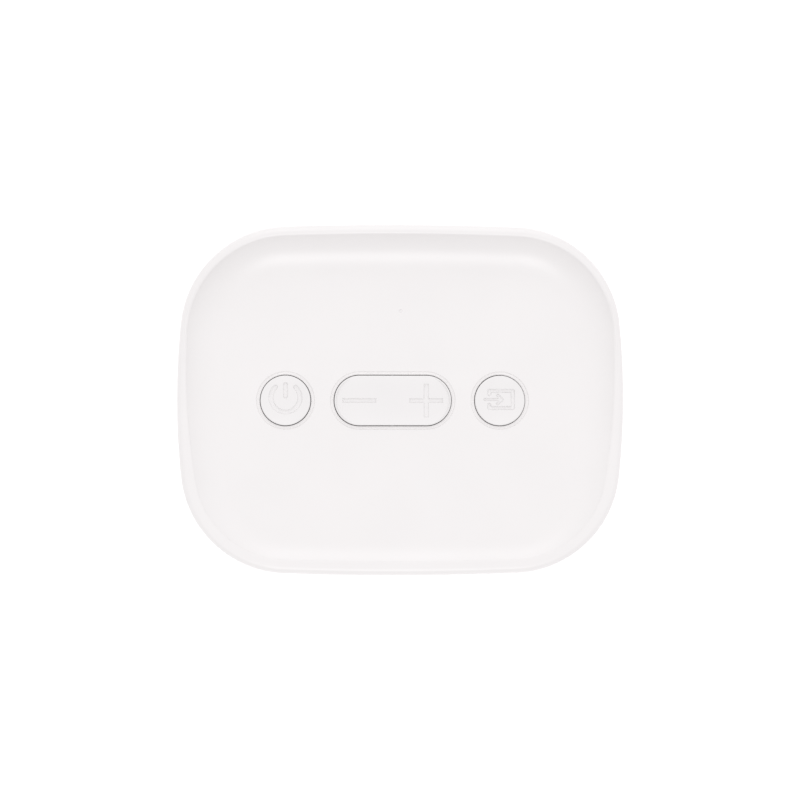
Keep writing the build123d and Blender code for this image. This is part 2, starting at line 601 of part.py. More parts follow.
def cap_screws():
    part = screw(2.0, 1.6, CAP_SCREW_RADIUS, CABINET_PLATE + CAP_SCREW_LENGTH)
    return [Pos(x, y, CABINET_TOP) * part for x, y in corner_points(CAP_SCREW_INSET)]


# ---------------------------------------------------------------- sleeve, rear panel and base
def sleeve(outer_inset, thickness):
    """A wall round the front and sides that stops at the rear panel."""
    wall = ring(outer_inset, outer_inset + thickness, SLEEVE_BOTTOM, SLEEVE_TOP)
    return wall - rear_bay(0, HEIGHT)


def grille_shell():
    """Moulded sleeve with slots in front of the drivers. The cloth is stretched over it."""
    wall = sleeve(GRILLE_INSET, GRILLE_THICKNESS)
    columns, rows = SLOT_COUNT
    slot = Rot(90, 0, 0) * extrude(SlotOverall(SLOT_SIZE[1], SLOT_SIZE[0], rotation=90), 20)
    middle_z = (SLEEVE_BOTTOM + SLEEVE_TOP) / 2
    slots = []
    for column in range(columns):
        for row in range(rows):
            x = (column - (columns - 1) / 2) * SLOT_PITCH[0]
            z = middle_z + (row - (rows - 1) / 2) * SLOT_PITCH[1]
            slots.append(Pos(x, -DEPTH / 2 + 15, z) * slot)
    return wall - slots


def rear_screw_points():
    return [(sx * REAR_SCREW_X, z) for sx in (1, -1) for z in (CABINET_BOTTOM + 6, CABINET_TOP - 5)]


def rear_panel():
    """Stiff strip down the back with the port, the inlet, the socket and four screws."""
    half = REAR_PANEL_WIDTH / 2
    wall = ring(REAR_PANEL_INSET, REAR_PANEL_INSET + REAR_PANEL_THICKNESS, SLEEVE_BOTTOM, SLEEVE_TOP)
    panel = wall & block((-half, half), (0, DEPTH), (0, HEIGHT))
    panel -= rod_y(0, PORT_Z, 0, DEPTH, PORT_RADIUS + PORT_WALL + PORT_FLARE + FIT)
    panel -= rod_y(AUX_X, AUX_Z, 0, DEPTH, AUX_NOSE_RADIUS + FIT)
    window = Box(INLET_OUTER[0] + 2 * FIT, DEPTH, INLET_OUTER[1] + 2 * FIT)
    window = fillet(window.edges().filter_by(Axis.Y), INLET_CORNER + FIT)
    panel -= Pos(INLET_X, DEPTH / 2, INLET_Z) * window
    for x, z in rear_screw_points():
        panel -= rod_y(x, z, 0, DEPTH, REAR_SCREW_RADIUS + FIT)
        panel -= rod_y(x, z, REAR_FACE_Y - REAR_SCREW_SINK, DEPTH, 3.0)
    return panel


def rear_screws():
    part = Rot(90, 0, 0) * screw(2.6, 1.1, REAR_SCREW_RADIUS, 9)
    return [Pos(x, REAR_FACE_Y - REAR_SCREW_SINK, z) * part for x, z in rear_screw_points()]


def power_board_points():
    return [(sx * 40.0, sy * 20.0) for sx, sy in FOUR_SIGNS]


def base_tray():
    body = slab(0, BASE_BOTTOM, BASE_HEIGHT)
    body = fillet(body.edges().group_by(Axis.Z)[0], BASE_EDGE_FILLET)
    body -= slab(BASE_WALL, BASE_FLOOR, BASE_HEIGHT + 1)
    lip = ring(LIP_INSET, LIP_INSET + LIP_THICKNESS, BASE_FLOOR, BASE_HEIGHT + CAP_LIP_DROP)
    lip += ring(BASE_WALL / 2, LIP_INSET + LIP_THICKNESS / 2, BASE_FLOOR, BASE_HEIGHT)
    body += lip - rear_bay(BASE_HEIGHT, HEIGHT)
    for x, y in corner_points(BASE_SCREW_INSET):
        body += rod(x, y, BASE_BOTTOM, PLATE_UNDER, BASE_BOSS_RADIUS)
    for x, y in power_board_points():
        body += rod(x, y, BASE_FLOOR - 0.5, POWER_BOARD_Z, 3.0)
    body -= slab(FOOT_INSET - SMALL_FIT, BASE_BOTTOM - 1, BASE_BOTTOM + FOOT_SEAT)
    for x, y in corner_points(BASE_SCREW_INSET):
        body -= rod(x, y, 0, BASE_SCREW_HEAD_Z, 2.8)
        body -= rod(x, y, 0, PLATE_UNDER + 1, BASE_SCREW_RADIUS + SMALL_FIT)
    for x, y in power_board_points():
        body -= rod(x, y, BASE_FLOOR - 0.6, POWER_BOARD_Z + 1, POWER_SCREW_RADIUS)
    return body


def foot_pad():
    """One-piece rubber pad with a shallow groove near its edge. It covers the base screws."""
    top = BASE_BOTTOM + FOOT_SEAT
    pad = slab(FOOT_INSET, 0, top)
    pad = fillet(pad.edges().group_by(Axis.Z)[0], 0.6)
    return pad - ring(FOOT_INSET + 4, FOOT_INSET + 5.5, -1, 0.5)


def base_screws():
    part = screw(2.6, 2.0, BASE_SCREW_RADIUS, PLATE_UNDER - BASE_SCREW_HEAD_Z + 9)
    return [Pos(x, y, BASE_SCREW_HEAD_Z) * part for x, y in corner_points(BASE_SCREW_INSET)]


# ---------------------------------------------------------------- acoustic cabinet


def baffle_screw_points():
    middle = (WOOFER_Z + TWEETER_Z) / 2
    x = WIDTH / 2 - BAFFLE_SCREW_INSET
    return [(sx * x, z) for sx in (1, -1) for z in (CABINET_BOTTOM + 5, middle, CABINET_TOP - 5)]


def main_board_points():
    half = MAIN_BOARD_SIZE[0] / 2 - 4
    return [(sx * half, z) for sx in (1, -1) for z in (MAIN_BOARD_Z + 4, MAIN_BOARD_TOP - 4)]


def cabinet_shell():
    """Box that is open at the front. Its top and bottom plates carry the cap, the base and the boards."""
    space = block((-WIDTH, WIDTH), (-DEPTH, CABINET_BACK_Y), (0, TALL))
    body = slab(CABINET_INSET, CABINET_BOTTOM, CABINET_TOP) & space
    room = block((-WIDTH, WIDTH), (-DEPTH, CABINET_BACK_Y - CABINET_WALL), (0, TALL))
    body -= slab(CABINET_INSET + CABINET_WALL, CABINET_BOTTOM - 1, CABINET_TOP + 1) & room
    behind = block((-WIDTH, WIDTH), (CABINET_FRONT_Y, DEPTH), (0, TALL))
    body += slab(CABINET_PLATE_INSET, CABINET_TOP, PLATE_TOP) & behind
    body += slab(CABINET_PLATE_INSET, PLATE_UNDER, CABINET_BOTTOM) & behind
    front_half = WIDTH / 2 - CABINET_INSET - CABINET_FRONT_CORNER
    body -= block((-front_half, front_half), (-DEPTH, CABINET_FRONT_Y), (0, TALL))
    for x, y in corner_points(BASE_SCREW_INSET):
        post = rod(x, y, PLATE_UNDER, CABINET_BOTTOM + 11, 3.0)
        body += post & behind
    for x, z in baffle_screw_points():
        body += rod_y(x, z, CABINET_FRONT_Y, CABINET_FRONT_Y + BAFFLE_BOSS_LENGTH, 3.0)
    panel_back = REAR_PANEL_INSET + REAR_PANEL_THICKNESS
    for x, z in rear_screw_points():
        body += rod_y(x, z, CABINET_BACK_Y - 1, DEPTH / 2, 3.2) & slab(panel_back, 0, TALL)
    for x, z in main_board_points():
        body += rod_y(x, z, CABINET_BACK_Y - 1, MAIN_BOARD_Y, BOARD_BOSS_RADIUS)
    body -= cabinet_holes()
    return body


def cabinet_holes():
    """Every hole in the cabinet moulding."""
    holes = [rod_y(0, PORT_Z, 0, CABINET_BACK_Y + 1, PORT_RADIUS + PORT_WALL)]
    for x, y in corner_points(BASE_SCREW_INSET):
        holes.append(rod(x, y, PLATE_UNDER - 1, PLATE_UNDER + 9.5, BASE_SCREW_RADIUS))
    for x, y in corner_points(CAP_SCREW_INSET):
        holes.append(rod(x, y, CABINET_TOP - 1, PLATE_TOP + 1, CAP_SCREW_RADIUS + SMALL_FIT))
    for x, z in baffle_screw_points():
        holes.append(rod_y(x, z, CABINET_FRONT_Y - 1, CABINET_FRONT_Y + 7, BAFFLE_SCREW_RADIUS))
    for x, z in rear_screw_points():
        holes.append(rod_y(x, z, REAR_INNER_Y - 8, REAR_INNER_Y + 1, REAR_SCREW_RADIUS))
    for x, z in main_board_points():
        holes.append(rod_y(x, z, MAIN_BOARD_Y - 4, MAIN_BOARD_Y + 1, BOARD_SCREW_RADIUS))
    for x, z in LEAD_HOLES:
        holes.append(rod_y(x, z, 0, CABINET_BACK_Y + 1, LEAD_RADIUS + FIT))
    holes.append(block(flex_socket_span(), (FLEX_Y - 2, FLEX_Y + 2), (CABINET_TOP - 1, TALL)))
    holes.append(
        block((HARNESS_X - 4, HARNESS_X + 4), (HARNESS_Y - 4, HARNESS_Y + 4), (0, CABINET_BOTTOM + 1))
    )
    return holes


def baffle_slab(low_y, high_y):
    """The plan outline of the cabinet between two depths, as tall as the cabinet with its plates."""
    body = slab(CABINET_INSET, PLATE_UNDER, PLATE_TOP)
    return body & block((-WIDTH, WIDTH), (low_y, high_y), (0, TALL))


def front_baffle():
    body = baffle_slab(-DEPTH, BAFFLE_BACK_Y)
    for angle in WOOFER_SCREW_ANGLES:
        x = WOOFER_SCREW_CIRCLE * math.cos(math.radians(angle))
        z = WOOFER_Z + WOOFER_SCREW_CIRCLE * math.sin(math.radians(angle))
        body += rod_y(x, z, BAFFLE_BACK_Y, BAFFLE_BACK_Y + 4, 3.0)
    body -= rod_y(0, WOOFER_Z, -DEPTH, 0, WOOFER_OPENING)
    body -= rod_y(0, WOOFER_Z, -DEPTH, BAFFLE_FRONT_Y + WOOFER_SEAT, WOOFER_RADIUS + FIT)
    body -= rod_y(0, TWEETER_Z, -DEPTH, 0, TWEETER_MOTOR_RADIUS + FIT)
    body -= rod_y(0, TWEETER_Z, -DEPTH, BAFFLE_FRONT_Y + TWEETER_PLATE, TWEETER_RADIUS + FIT)
    for angle in WOOFER_SCREW_ANGLES:
        x = WOOFER_SCREW_CIRCLE * math.cos(math.radians(angle))
        z = WOOFER_Z + WOOFER_SCREW_CIRCLE * math.sin(math.radians(angle))
        body -= rod_y(x, z, -DEPTH, BAFFLE_FRONT_Y + 8, WOOFER_SCREW_RADIUS)
    for angle in TWEETER_SCREW_ANGLES:
        x = TWEETER_SCREW_CIRCLE * math.cos(math.radians(angle))
        z = TWEETER_Z + TWEETER_SCREW_CIRCLE * math.sin(math.radians(angle))
        body -= rod_y(x, z, -DEPTH, BAFFLE_BACK_Y + 1, BOARD_SCREW_RADIUS)
    for x, z in baffle_screw_points():
        body -= rod_y(x, z, -DEPTH, 0, BAFFLE_SCREW_RADIUS + SMALL_FIT)
        body -= rod_y(x, z, -DEPTH, BAFFLE_BACK_Y - BAFFLE_SEAT, 2.7)
    return body


def baffle_gasket():
    body = baffle_slab(BAFFLE_BACK_Y, CABINET_FRONT_Y)
    half = WIDTH / 2 - CABINET_INSET - BAFFLE_GASKET_BORDER
    body -= block((-half, half), (-DEPTH, 0), (CABINET_BOTTOM, CABINET_TOP))
    for x, z in baffle_screw_points():
        body += rod_y(x, z, BAFFLE_BACK_Y, CABINET_FRONT_Y, 3.0)
        body -= rod_y(x, z, -DEPTH, 0, BAFFLE_SCREW_RADIUS + SMALL_FIT)
    return body


def baffle_screws():
    length = BAFFLE_SEAT + BAFFLE_GASKET + BAFFLE_BOSS_LENGTH - SCREW_BITE - 0.5
    part = Rot(-90, 0, 0) * screw(2.4, 1.6, BAFFLE_SCREW_RADIUS, length)
    return [Pos(x, BAFFLE_BACK_Y - BAFFLE_SEAT, z) * part for x, z in baffle_screw_points()]


def port_tube():
    """Bass reflex port, flared at the rear panel."""
    end = PORT_LENGTH
    outer = PORT_RADIUS + PORT_WALL
    body = turned(
        [
            (PORT_RADIUS, 0),
            (outer, 0),
            (outer, end - 7),
            (outer + PORT_FLARE, end - 4),
            (outer + PORT_FLARE, end),
            (PORT_RADIUS, end),
        ]
    )
    flare = body.edges().filter_by(GeomType.CIRCLE).group_by(Axis.Z)[-1].sort_by(SortBy.RADIUS)[0]
    body = fillet(flare, PORT_FLARE + 0.5)
    return Pos(0, REAR_FACE_Y - PORT_LENGTH, PORT_Z) * Rot(-90, 0, 0) * body


# ---------------------------------------------------------------- woofer


def woofer_basket():
    """Pressed frame: flange, conical wall with windows, spider shelf and back ring."""
    wall_top = WOOFER_OPENING - 0.5
    bowl_top = wall_top - 2.0
    shelf_radius = CONE_RADIUS - 4.5
    shelf_under = SPIDER_SEAT - 1.5
    back_inside = BASKET_BACK + 1.4
    lip_depth = -ROLL_WALL
    body = turned(
        [
            (WOOFER_RADIUS, 0),
            (WOOFER_RADIUS, -WOOFER_PLATE),
            (wall_top, -WOOFER_PLATE),
            (CONE_RADIUS, shelf_under),
            (CONE_RADIUS - 0.5, BASKET_BACK),
            (GAP_RADIUS + 0.1, BASKET_BACK),
            (GAP_RADIUS + 0.1, back_inside),
            (CONE_RADIUS - 2.2, back_inside),
            (CONE_RADIUS - 2.2, shelf_under),
            (shelf_radius, shelf_under),
            (shelf_radius, SPIDER_SEAT),
            (CONE_RADIUS - 1.3, SPIDER_SEAT),
            (bowl_top, -WOOFER_PLATE),
            (bowl_top, lip_depth),
            (WOOFER_OPENING, lip_depth),
            (WOOFER_OPENING, 0),
        ]
    )
    window = Pos(ROLL_RADIUS, 0, -8) * Box(14, 15, 8)
    for turn in range(4):
        body -= Rot(0, 0, 90 * turn + 45) * window
    tag = Pos(ROLL_RADIUS - 0.4, 0, SPIDER_SEAT - 0.5) * Box(7.8, 7, 8)
    shelf = CONE_RADIUS - 1.3
    bowl = turned([(0, SPIDER_SEAT), (shelf, SPIDER_SEAT), (bowl_top, -WOOFER_PLATE), (bowl_top, 1), (0, 1)])
    tag -= bowl
    body += tag - rod(0, 0, YOKE_BACK, SPIDER_SEAT, CONE_RADIUS - 1.3)
    for angle in WOOFER_SCREW_ANGLES:
        hole = Cylinder(WOOFER_SCREW_RADIUS + SMALL_FIT, 4 * WOOFER_PLATE)
        body -= Rot(0, 0, angle) * Pos(WOOFER_SCREW_CIRCLE, 0, 0) * hole
    return facing_front(body, 0, WOOFER_Z)


def woofer_gasket():
    inner = WOOFER_OPENING + FIT
    body = turned(
        [
            (inner, -WOOFER_PLATE),
            (WOOFER_RADIUS, -WOOFER_PLATE),
            (WOOFER_RADIUS, -WOOFER_SEAT),
            (inner, -WOOFER_SEAT),
        ]
    )
    for angle in WOOFER_SCREW_ANGLES:
        hole = Cylinder(WOOFER_SCREW_RADIUS + SMALL_FIT, 4 * WOOFER_SEAT)
        body -= Rot(0, 0, angle) * Pos(WOOFER_SCREW_CIRCLE, 0, 0) * hole
    return facing_front(body, 0, WOOFER_Z)


def woofer_top_plate():
    edge = MAGNET_RADIUS - 2
    front, back = BASKET_BACK, TOP_PLATE_BACK
    body = turned([(GAP_RADIUS, front), (edge, front), (edge, back), (GAP_RADIUS, back)])
    return facing_front(body, 0, WOOFER_Z)


def woofer_magnet():
    body = turned(
        [
            (MAGNET_HOLE, TOP_PLATE_BACK),
            (MAGNET_RADIUS, TOP_PLATE_BACK),
            (MAGNET_RADIUS, MAGNET_BACK),
            (MAGNET_HOLE, MAGNET_BACK),
        ]
    )
    body = chamfer(body.edges().filter_by(GeomType.CIRCLE).sort_by(SortBy.RADIUS)[-2:], 0.8)
    return facing_front(body, 0, WOOFER_Z)


def woofer_yoke():
    """Back plate and pole piece in one turning."""
    edge = MAGNET_RADIUS - 1
    pole_top = BASKET_BACK - 0.3
    body = turned(
        [
            (0, YOKE_BACK),
            (edge, YOKE_BACK),
            (edge, MAGNET_BACK),
            (POLE_RADIUS, MAGNET_BACK),
            (POLE_RADIUS, pole_top),
            (0, pole_top),
        ]
    )
    return facing_front(body, 0, WOOFER_Z)


def voice_coil():
    """Paper former with its winding."""
    former_top = CONE_NECK + 1.3
    winding_top = COIL_BOTTOM + 7
    outside = FORMER_RADIUS + FORMER_WALL
    body = turned(
        [
            (FORMER_RADIUS, COIL_BOTTOM),
            (WINDING_RADIUS, COIL_BOTTOM),
            (WINDING_RADIUS, winding_top),
            (outside, winding_top),
            (outside, former_top),
            (FORMER_RADIUS, former_top),
        ]
    )
    return facing_front(body, 0, WOOFER_Z)


def woofer_cone():
    neck = FORMER_RADIUS + FORMER_WALL
    body = turned(
        [
            (neck, CONE_NECK - CONE_WALL),
            (neck + 0.6, CONE_NECK - CONE_WALL),
            (CONE_RADIUS, CONE_LIP - CONE_WALL),
            (CONE_RADIUS, CONE_LIP),
            (neck, CONE_NECK),
        ]
    )
    return facing_front(body, 0, WOOFER_Z)


def cone_height(radius):
    """Depth of the cone's front face at a radius."""
    neck = FORMER_RADIUS + FORMER_WALL
    return CONE_NECK + (radius - neck) / (CONE_RADIUS - neck) * (CONE_LIP - CONE_NECK)


def woofer_dust_cap():
    """Domed cap over the coil, glued to the cone."""
    edge, rise, wall = 12.0, 3.2, 0.5
    foot = cone_height(edge)
    radius = (edge**2 + rise**2) / (2 * rise)
    outer = Pos(0, 0, foot + rise - radius) * Sphere(radius)
    body = outer - Pos(0, 0, -wall) * outer
    body &= rod(0, 0, foot - rise, foot + rise + 1, edge - 0.1)
    rim = (WOOFER_RADIUS, cone_height(WOOFER_RADIUS))
    body -= turned([(0, YOKE_BACK), (WOOFER_RADIUS, YOKE_BACK), rim, (0, cone_height(0))])
    return facing_front(body.solids().sort_by(SortBy.VOLUME)[-1], 0, WOOFER_Z)


def woofer_surround():
    """Rubber half roll from the cone's edge to the flange."""
    roll = ROLL_WIDTH / 2
    body = Torus(ROLL_RADIUS, roll) - Torus(ROLL_RADIUS, roll - ROLL_WALL)
    body &= rod(0, 0, 0, 2 * roll, WOOFER_RADIUS)
    body = Pos(0, 0, -ROLL_WALL) * body
    flange_inner = ROLL_RADIUS + roll
    body += turned(
        [
            (flange_inner, -ROLL_WALL),
            (WOOFER_OPENING - FIT, -ROLL_WALL),
            (WOOFER_OPENING - FIT, 0),
            (flange_inner - 0.3, 0),
        ]
    )
    body += turned(
        [
            (CONE_RADIUS, CONE_LIP - CONE_WALL),
            (CONE_RADIUS + ROLL_WALL, CONE_LIP - CONE_WALL),
            (CONE_RADIUS + ROLL_WALL, -0.5),
            (CONE_RADIUS, -0.5),
        ]
    )
    return facing_front(body, 0, WOOFER_Z)


def woofer_spider():
    """Corrugated cloth disc that centres the coil."""
    wall, wave = 0.5, 0.9
    start = FORMER_RADIUS + FORMER_WALL
    edge = CONE_RADIUS - 1.9
    step = (edge - 4 - start) / 5
    low = [(start + step * turn, SPIDER_SEAT + wave * (turn % 2)) for turn in range(6)]
    high = [(radius, height + wall) for radius, height in low]
    rim = [(edge - 2.5, SPIDER_SEAT), (edge, SPIDER_SEAT)]
    rim_top = [(radius, height + wall) for radius, height in rim]
    body = turned(high + rim_top + list(reversed(low + rim)))
    return facing_front(body, 0, WOOFER_Z)


def ring_of_screws(part, circle, angles, z):
    """Screws on a circle on the baffle, their heads forwards."""
    placed = []
    for angle in angles:
        turn = Rot(0, 0, angle) * Pos(circle, 0, 0) * Rot(180, 0, 0)
        placed.append(facing_front(turn * part, 0, z))
    return placed


def woofer_screws():
    part = screw(2.6, 1.5, WOOFER_SCREW_RADIUS, 7.6)
    return ring_of_screws(part, WOOFER_SCREW_CIRCLE, WOOFER_SCREW_ANGLES, WOOFER_Z)


# ---------------------------------------------------------------- tweeter


def tweeter_faceplate():
    """Front plate with a short flare round the dome and a spacer behind it."""
    body = turned(
        [
            (TWEETER_RADIUS, 0),
            (TWEETER_RADIUS, -TWEETER_PLATE),
            (TWEETER_MOTOR_RADIUS, -TWEETER_PLATE),
            (TWEETER_MOTOR_RADIUS, -TWEETER_SPACER),
            (RING_EDGE, -TWEETER_SPACER),
            (RING_EDGE, RING_WALL - TWEETER_SPACER),
            (DOME_EDGE + 1.0, RING_WALL - TWEETER_SPACER),
            (DOME_EDGE + 1.0, -1.8),
            (DOME_EDGE + 2.4, 0),
        ]
    )
    for angle in TWEETER_SCREW_ANGLES:
        body -= Rot(0, 0, angle) * Pos(TWEETER_SCREW_CIRCLE, 0, 0) * Cylinder(BOARD_SCREW_RADIUS + 0.05, 10)
    return facing_front(body, 0, TWEETER_Z)


def tweeter_dome():
    """Silk dome with its coil former."""
    rise = 3.4
    coil_bottom = DOME_BASE - 4.6
    inside = DOME_EDGE - DOME_WALL
    radius = (DOME_EDGE**2 + rise**2) / (2 * rise)
    outer = Pos(0, 0, DOME_BASE + rise - radius) * Sphere(radius)
    cap = outer - Pos(0, 0, -DOME_WALL) * outer
    cap &= rod(0, 0, DOME_BASE - 0.3, DOME_BASE + rise + 1, DOME_EDGE)
    body = cap + turned(
        [(inside, coil_bottom), (DOME_EDGE, coil_bottom), (DOME_EDGE, DOME_BASE), (inside, DOME_BASE)]
    )
    return facing_front(body, 0, TWEETER_Z)


def tweeter_suspension():
    """Flexible ring that is clamped under the front plate and carries the dome."""
    under, over = -TWEETER_SPACER, RING_WALL - TWEETER_SPACER
    body = turned([(DOME_EDGE, under), (RING_EDGE, under), (RING_EDGE, over), (DOME_EDGE, over)])
    return facing_front(body, 0, TWEETER_Z)


def tweeter_yoke():
    gap = DOME_EDGE + 0.4
    body = turned(
        [
            (0, TWEETER_BACK),
            (TWEETER_MOTOR_RADIUS, TWEETER_BACK),
            (TWEETER_MOTOR_RADIUS, -TWEETER_SPACER),
            (gap, -TWEETER_SPACER),
            (gap, TWEETER_BACK + 2),
            (0, TWEETER_BACK + 2),
        ]
    )
    return facing_front(body, 0, TWEETER_Z)


def tweeter_magnet():
    """Magnet disc under its round top plate."""
    plate = DOME_EDGE - DOME_WALL - 0.4
    foot, under, top = TWEETER_BACK + 2, -6.2, -4.2
    disc = plate - 0.5
    body = turned([(0, foot), (disc, foot), (disc, under - 0.3), (plate, under), (plate, top), (0, top)])
    return facing_front(body, 0, TWEETER_Z)


def tweeter_screws():
    part = screw(1.7, 1.1, BOARD_SCREW_RADIUS, BAFFLE_THICKNESS - 0.4)
    return ring_of_screws(part, TWEETER_SCREW_CIRCLE, TWEETER_SCREW_ANGLES, TWEETER_Z)


def woofer_lead():
    hole_x, hole_z = LEAD_HOLES[0]
    tag_back = BAFFLE_FRONT_Y - SPIDER_SEAT + 4.5
    route = [
        (27.5, tag_back, WOOFER_Z),
        (27.5, -10.5, WOOFER_Z),
        (25.5, 2.0, 76.0),
        (21.0, 12.0, 68.0),
        (hole_x, 20.0, hole_z),
        (hole_x, MAIN_BOARD_Y, hole_z),
    ]
    return lead(route, LEAD_RADIUS)


def tweeter_lead():
    hole_x, hole_z = LEAD_HOLES[1]
    route = [
        (5.0, BAFFLE_FRONT_Y - TWEETER_BACK, TWEETER_Z),
        (5.0, -16.0, TWEETER_Z),
        (9.0, -5.0, 130.0),
        (17.0, 3.0, 116.0),
        (21.0, 11.0, 99.0),
        (hole_x, 19.0, hole_z),
        (hole_x, MAIN_BOARD_Y, hole_z),
    ]
    return lead(route, LEAD_RADIUS)


# ---------------------------------------------------------------- boards and sockets
def main_board():
    width = MAIN_BOARD_SIZE[0]
    board = block((-width / 2, width / 2), (MAIN_BOARD_Y, MAIN_BOARD_FACE), (MAIN_BOARD_Z, MAIN_BOARD_TOP))
    board = fillet(board.edges().filter_by(Axis.Y), 2)
    for x, z in main_board_points():
        board -= rod_y(x, z, 0, DEPTH, BOARD_SCREW_RADIUS + SMALL_FIT)
    return board


def main_board_screws():
    part = Rot(90, 0, 0) * screw(1.9, 1.3, BOARD_SCREW_RADIUS, BOARD_THICKNESS + 3.5)
    return [Pos(x, MAIN_BOARD_FACE, z) * part for x, z in main_board_points()]


def on_main_board(x, z, height):
    """A box that stands on the back of the main board."""
    return block(x, (MAIN_BOARD_FACE, MAIN_BOARD_FACE + height), z)


def main_board_chips():
    top = MAIN_BOARD_TOP - FLEX_SOCKET_DROP
    flex_socket = on_main_board(flex_socket_span(), (top - 4, top), FLEX_STANDOFF + 1.2)
    low = MAIN_BOARD_Z
    power_socket = on_main_board((HARNESS_X - 4, HARNESS_X + 4), (low + 1, low + 5.5), 7.5)
    processor = on_main_board((-10, 1), (low + 26, low + 37), 1.2)
    memory = on_main_board((5, 14), (low + 28, low + 35), 1.0)
    coils = [on_main_board((x, x + 5), (low + 42, low + 47), 3) for x in (-8, -2)]
    return [flex_socket, power_socket, processor, memory, *coils]


def shield_can():
    """Pressed cover over the radio."""
    low, high = MAIN_BOARD_Z + 37.5, MAIN_BOARD_Z + 45.5
    wall = 0.3
    body = on_main_board((5, 20), (low, high), 2.6)
    body = fillet(body.edges().filter_by(Axis.Y), 0.8)
    return body - on_main_board((5 + wall, 20 - wall), (low + wall, high - wall), 2.6 - wall)


def heat_sink():
    """Finned block on the amplifier."""
    low, high = MAIN_BOARD_Z + 6, MAIN_BOARD_Z + 22
    body = on_main_board((-21, -5), (low, high), 10)
    for fin in range(AMPLIFIER_FINS):
        left = -21 + 1.2 + fin * 3.1
        body -= block((left, left + 1.9), (MAIN_BOARD_FACE + 3, DEPTH), (low - 1, high + 1))
    return body


def aux_jack():
    """3.5 mm socket: a block on the board with a round nose in the rear panel."""
    half = AUX_BODY / 2
    span = (MAIN_BOARD_FACE, REAR_INNER_Y - FIT)
    body = block((AUX_X - half, AUX_X + half), span, (AUX_Z - half, AUX_Z + half))
    body += rod_y(AUX_X, AUX_Z, REAR_INNER_Y - 1, SOCKET_FACE_Y, AUX_NOSE_RADIUS)
    return body - rod_y(AUX_X, AUX_Z, SOCKET_FACE_Y - AUX_DEPTH, DEPTH, AUX_BORE_RADIUS)


def ac_inlet():
    """Two-pin mains inlet: an open box, flush with the rear panel."""
    width, height = INLET_OUTER
    length = SOCKET_FACE_Y - INLET_BACK_Y
    body = Pos(INLET_X, INLET_BACK_Y + length / 2, INLET_Z) * Box(width, length, height)
    body = fillet(body.edges().filter_by(Axis.Y), INLET_CORNER)
    cavity = Rot(90, 0, 0) * extrude(SlotOverall(*INLET_CAVITY), INLET_DEPTH)
    body -= Pos(INLET_X, SOCKET_FACE_Y, INLET_Z) * cavity
    for side in (-1, 1):
        x = INLET_X + side * INLET_PIN_PITCH / 2
        body -= rod_y(x, INLET_Z, INLET_BACK_Y - 1, DEPTH, INLET_PIN_RADIUS)
    return body


def inlet_pins():
    floor = INLET_BACK_Y + INLET_WALL
    pins = []
    for side in (-1, 1):
        x = INLET_X + side * INLET_PIN_PITCH / 2
        pin = rod_y(x, INLET_Z, INLET_BACK_Y - 4, floor + INLET_PIN_REACH, INLET_PIN_RADIUS)
        pins.append(fillet(pin.edges().filter_by(GeomType.CIRCLE).sort_by(Axis.Y)[-1], 0.6))
    return pins


def power_board():
    width, depth = POWER_BOARD_SIZE
    board = Pos(0, 0, POWER_BOARD_Z + BOARD_THICKNESS / 2) * Box(width, depth, BOARD_THICKNESS)
    board = fillet(board.edges().filter_by(Axis.Z), POWER_BOARD_CORNER)
    for x, y in power_board_points():
        board -= rod(x, y, 0, HEIGHT, POWER_SCREW_RADIUS + SMALL_FIT)
    return board


def power_board_screws():
    part = Rot(180, 0, 0) * screw(2.3, 1.5, POWER_SCREW_RADIUS, 4.6)
    return [Pos(x, y, POWER_BOARD_Z + BOARD_THICKNESS) * part for x, y in power_board_points()]


def transformer():
    """Ferrite core round a taped bobbin."""
    core = Pos(-18, -10, POWER_BOARD_TOP + 9) * Box(24, 10, 18)
    core = fillet(core.edges().filter_by(Axis.Y), 1)
    bobbin = Pos(-18, -10, POWER_BOARD_TOP + 9) * Box(16, 20, 13)
    bobbin = fillet(bobbin.edges().filter_by(Axis.Y), 3)
    feet = Pos(-18, -10, POWER_BOARD_TOP + 1.5) * Box(18, 18, 3)
    return core + bobbin + feet


def capacitors():
    """Mains and output electrolytics with their vented tops."""
    places = [(10, -14, 7.5, 22), (27, -14, 5, 16), (27, 0, 5, 16), (8, 4, 4, 12)]
    cans = []
    for x, y, radius, height in places:
        can = rod(x, y, POWER_BOARD_TOP, POWER_BOARD_TOP + height, radius)
        can = fillet(can.edges().group_by(Axis.Z)[-1], 0.8)
        can -= rod(x, y, POWER_BOARD_TOP + height - 0.4, POWER_BOARD_TOP + height + 1, radius - 1.3)
        cans.append(can)
    return cans


def power_harness():
    """Supply cable from the power board up to the main board."""
    foot = POWER_BOARD_TOP
    route = [
        (HARNESS_X, 24.0, foot),
        (HARNESS_X, 24.0, foot + 11),
        (HARNESS_X, 31.0, foot + 20),
        (HARNESS_X, HARNESS_Y, foot + 31),
        (HARNESS_X, HARNESS_Y, MAIN_BOARD_Z + 1),
    ]
    return lead(route, HARNESS_RADIUS)


def antenna(side):
    """Printed aerial stuck to the back of the cabinet."""
    width, thickness, height = ANTENNA_SIZE
    x = side * ANTENNA_X
    top = CABINET_TOP - ANTENNA_DROP
    return block(
        (x - width / 2, x + width / 2), (CABINET_BACK_Y, CABINET_BACK_Y + thickness), (top - height, top)
    )


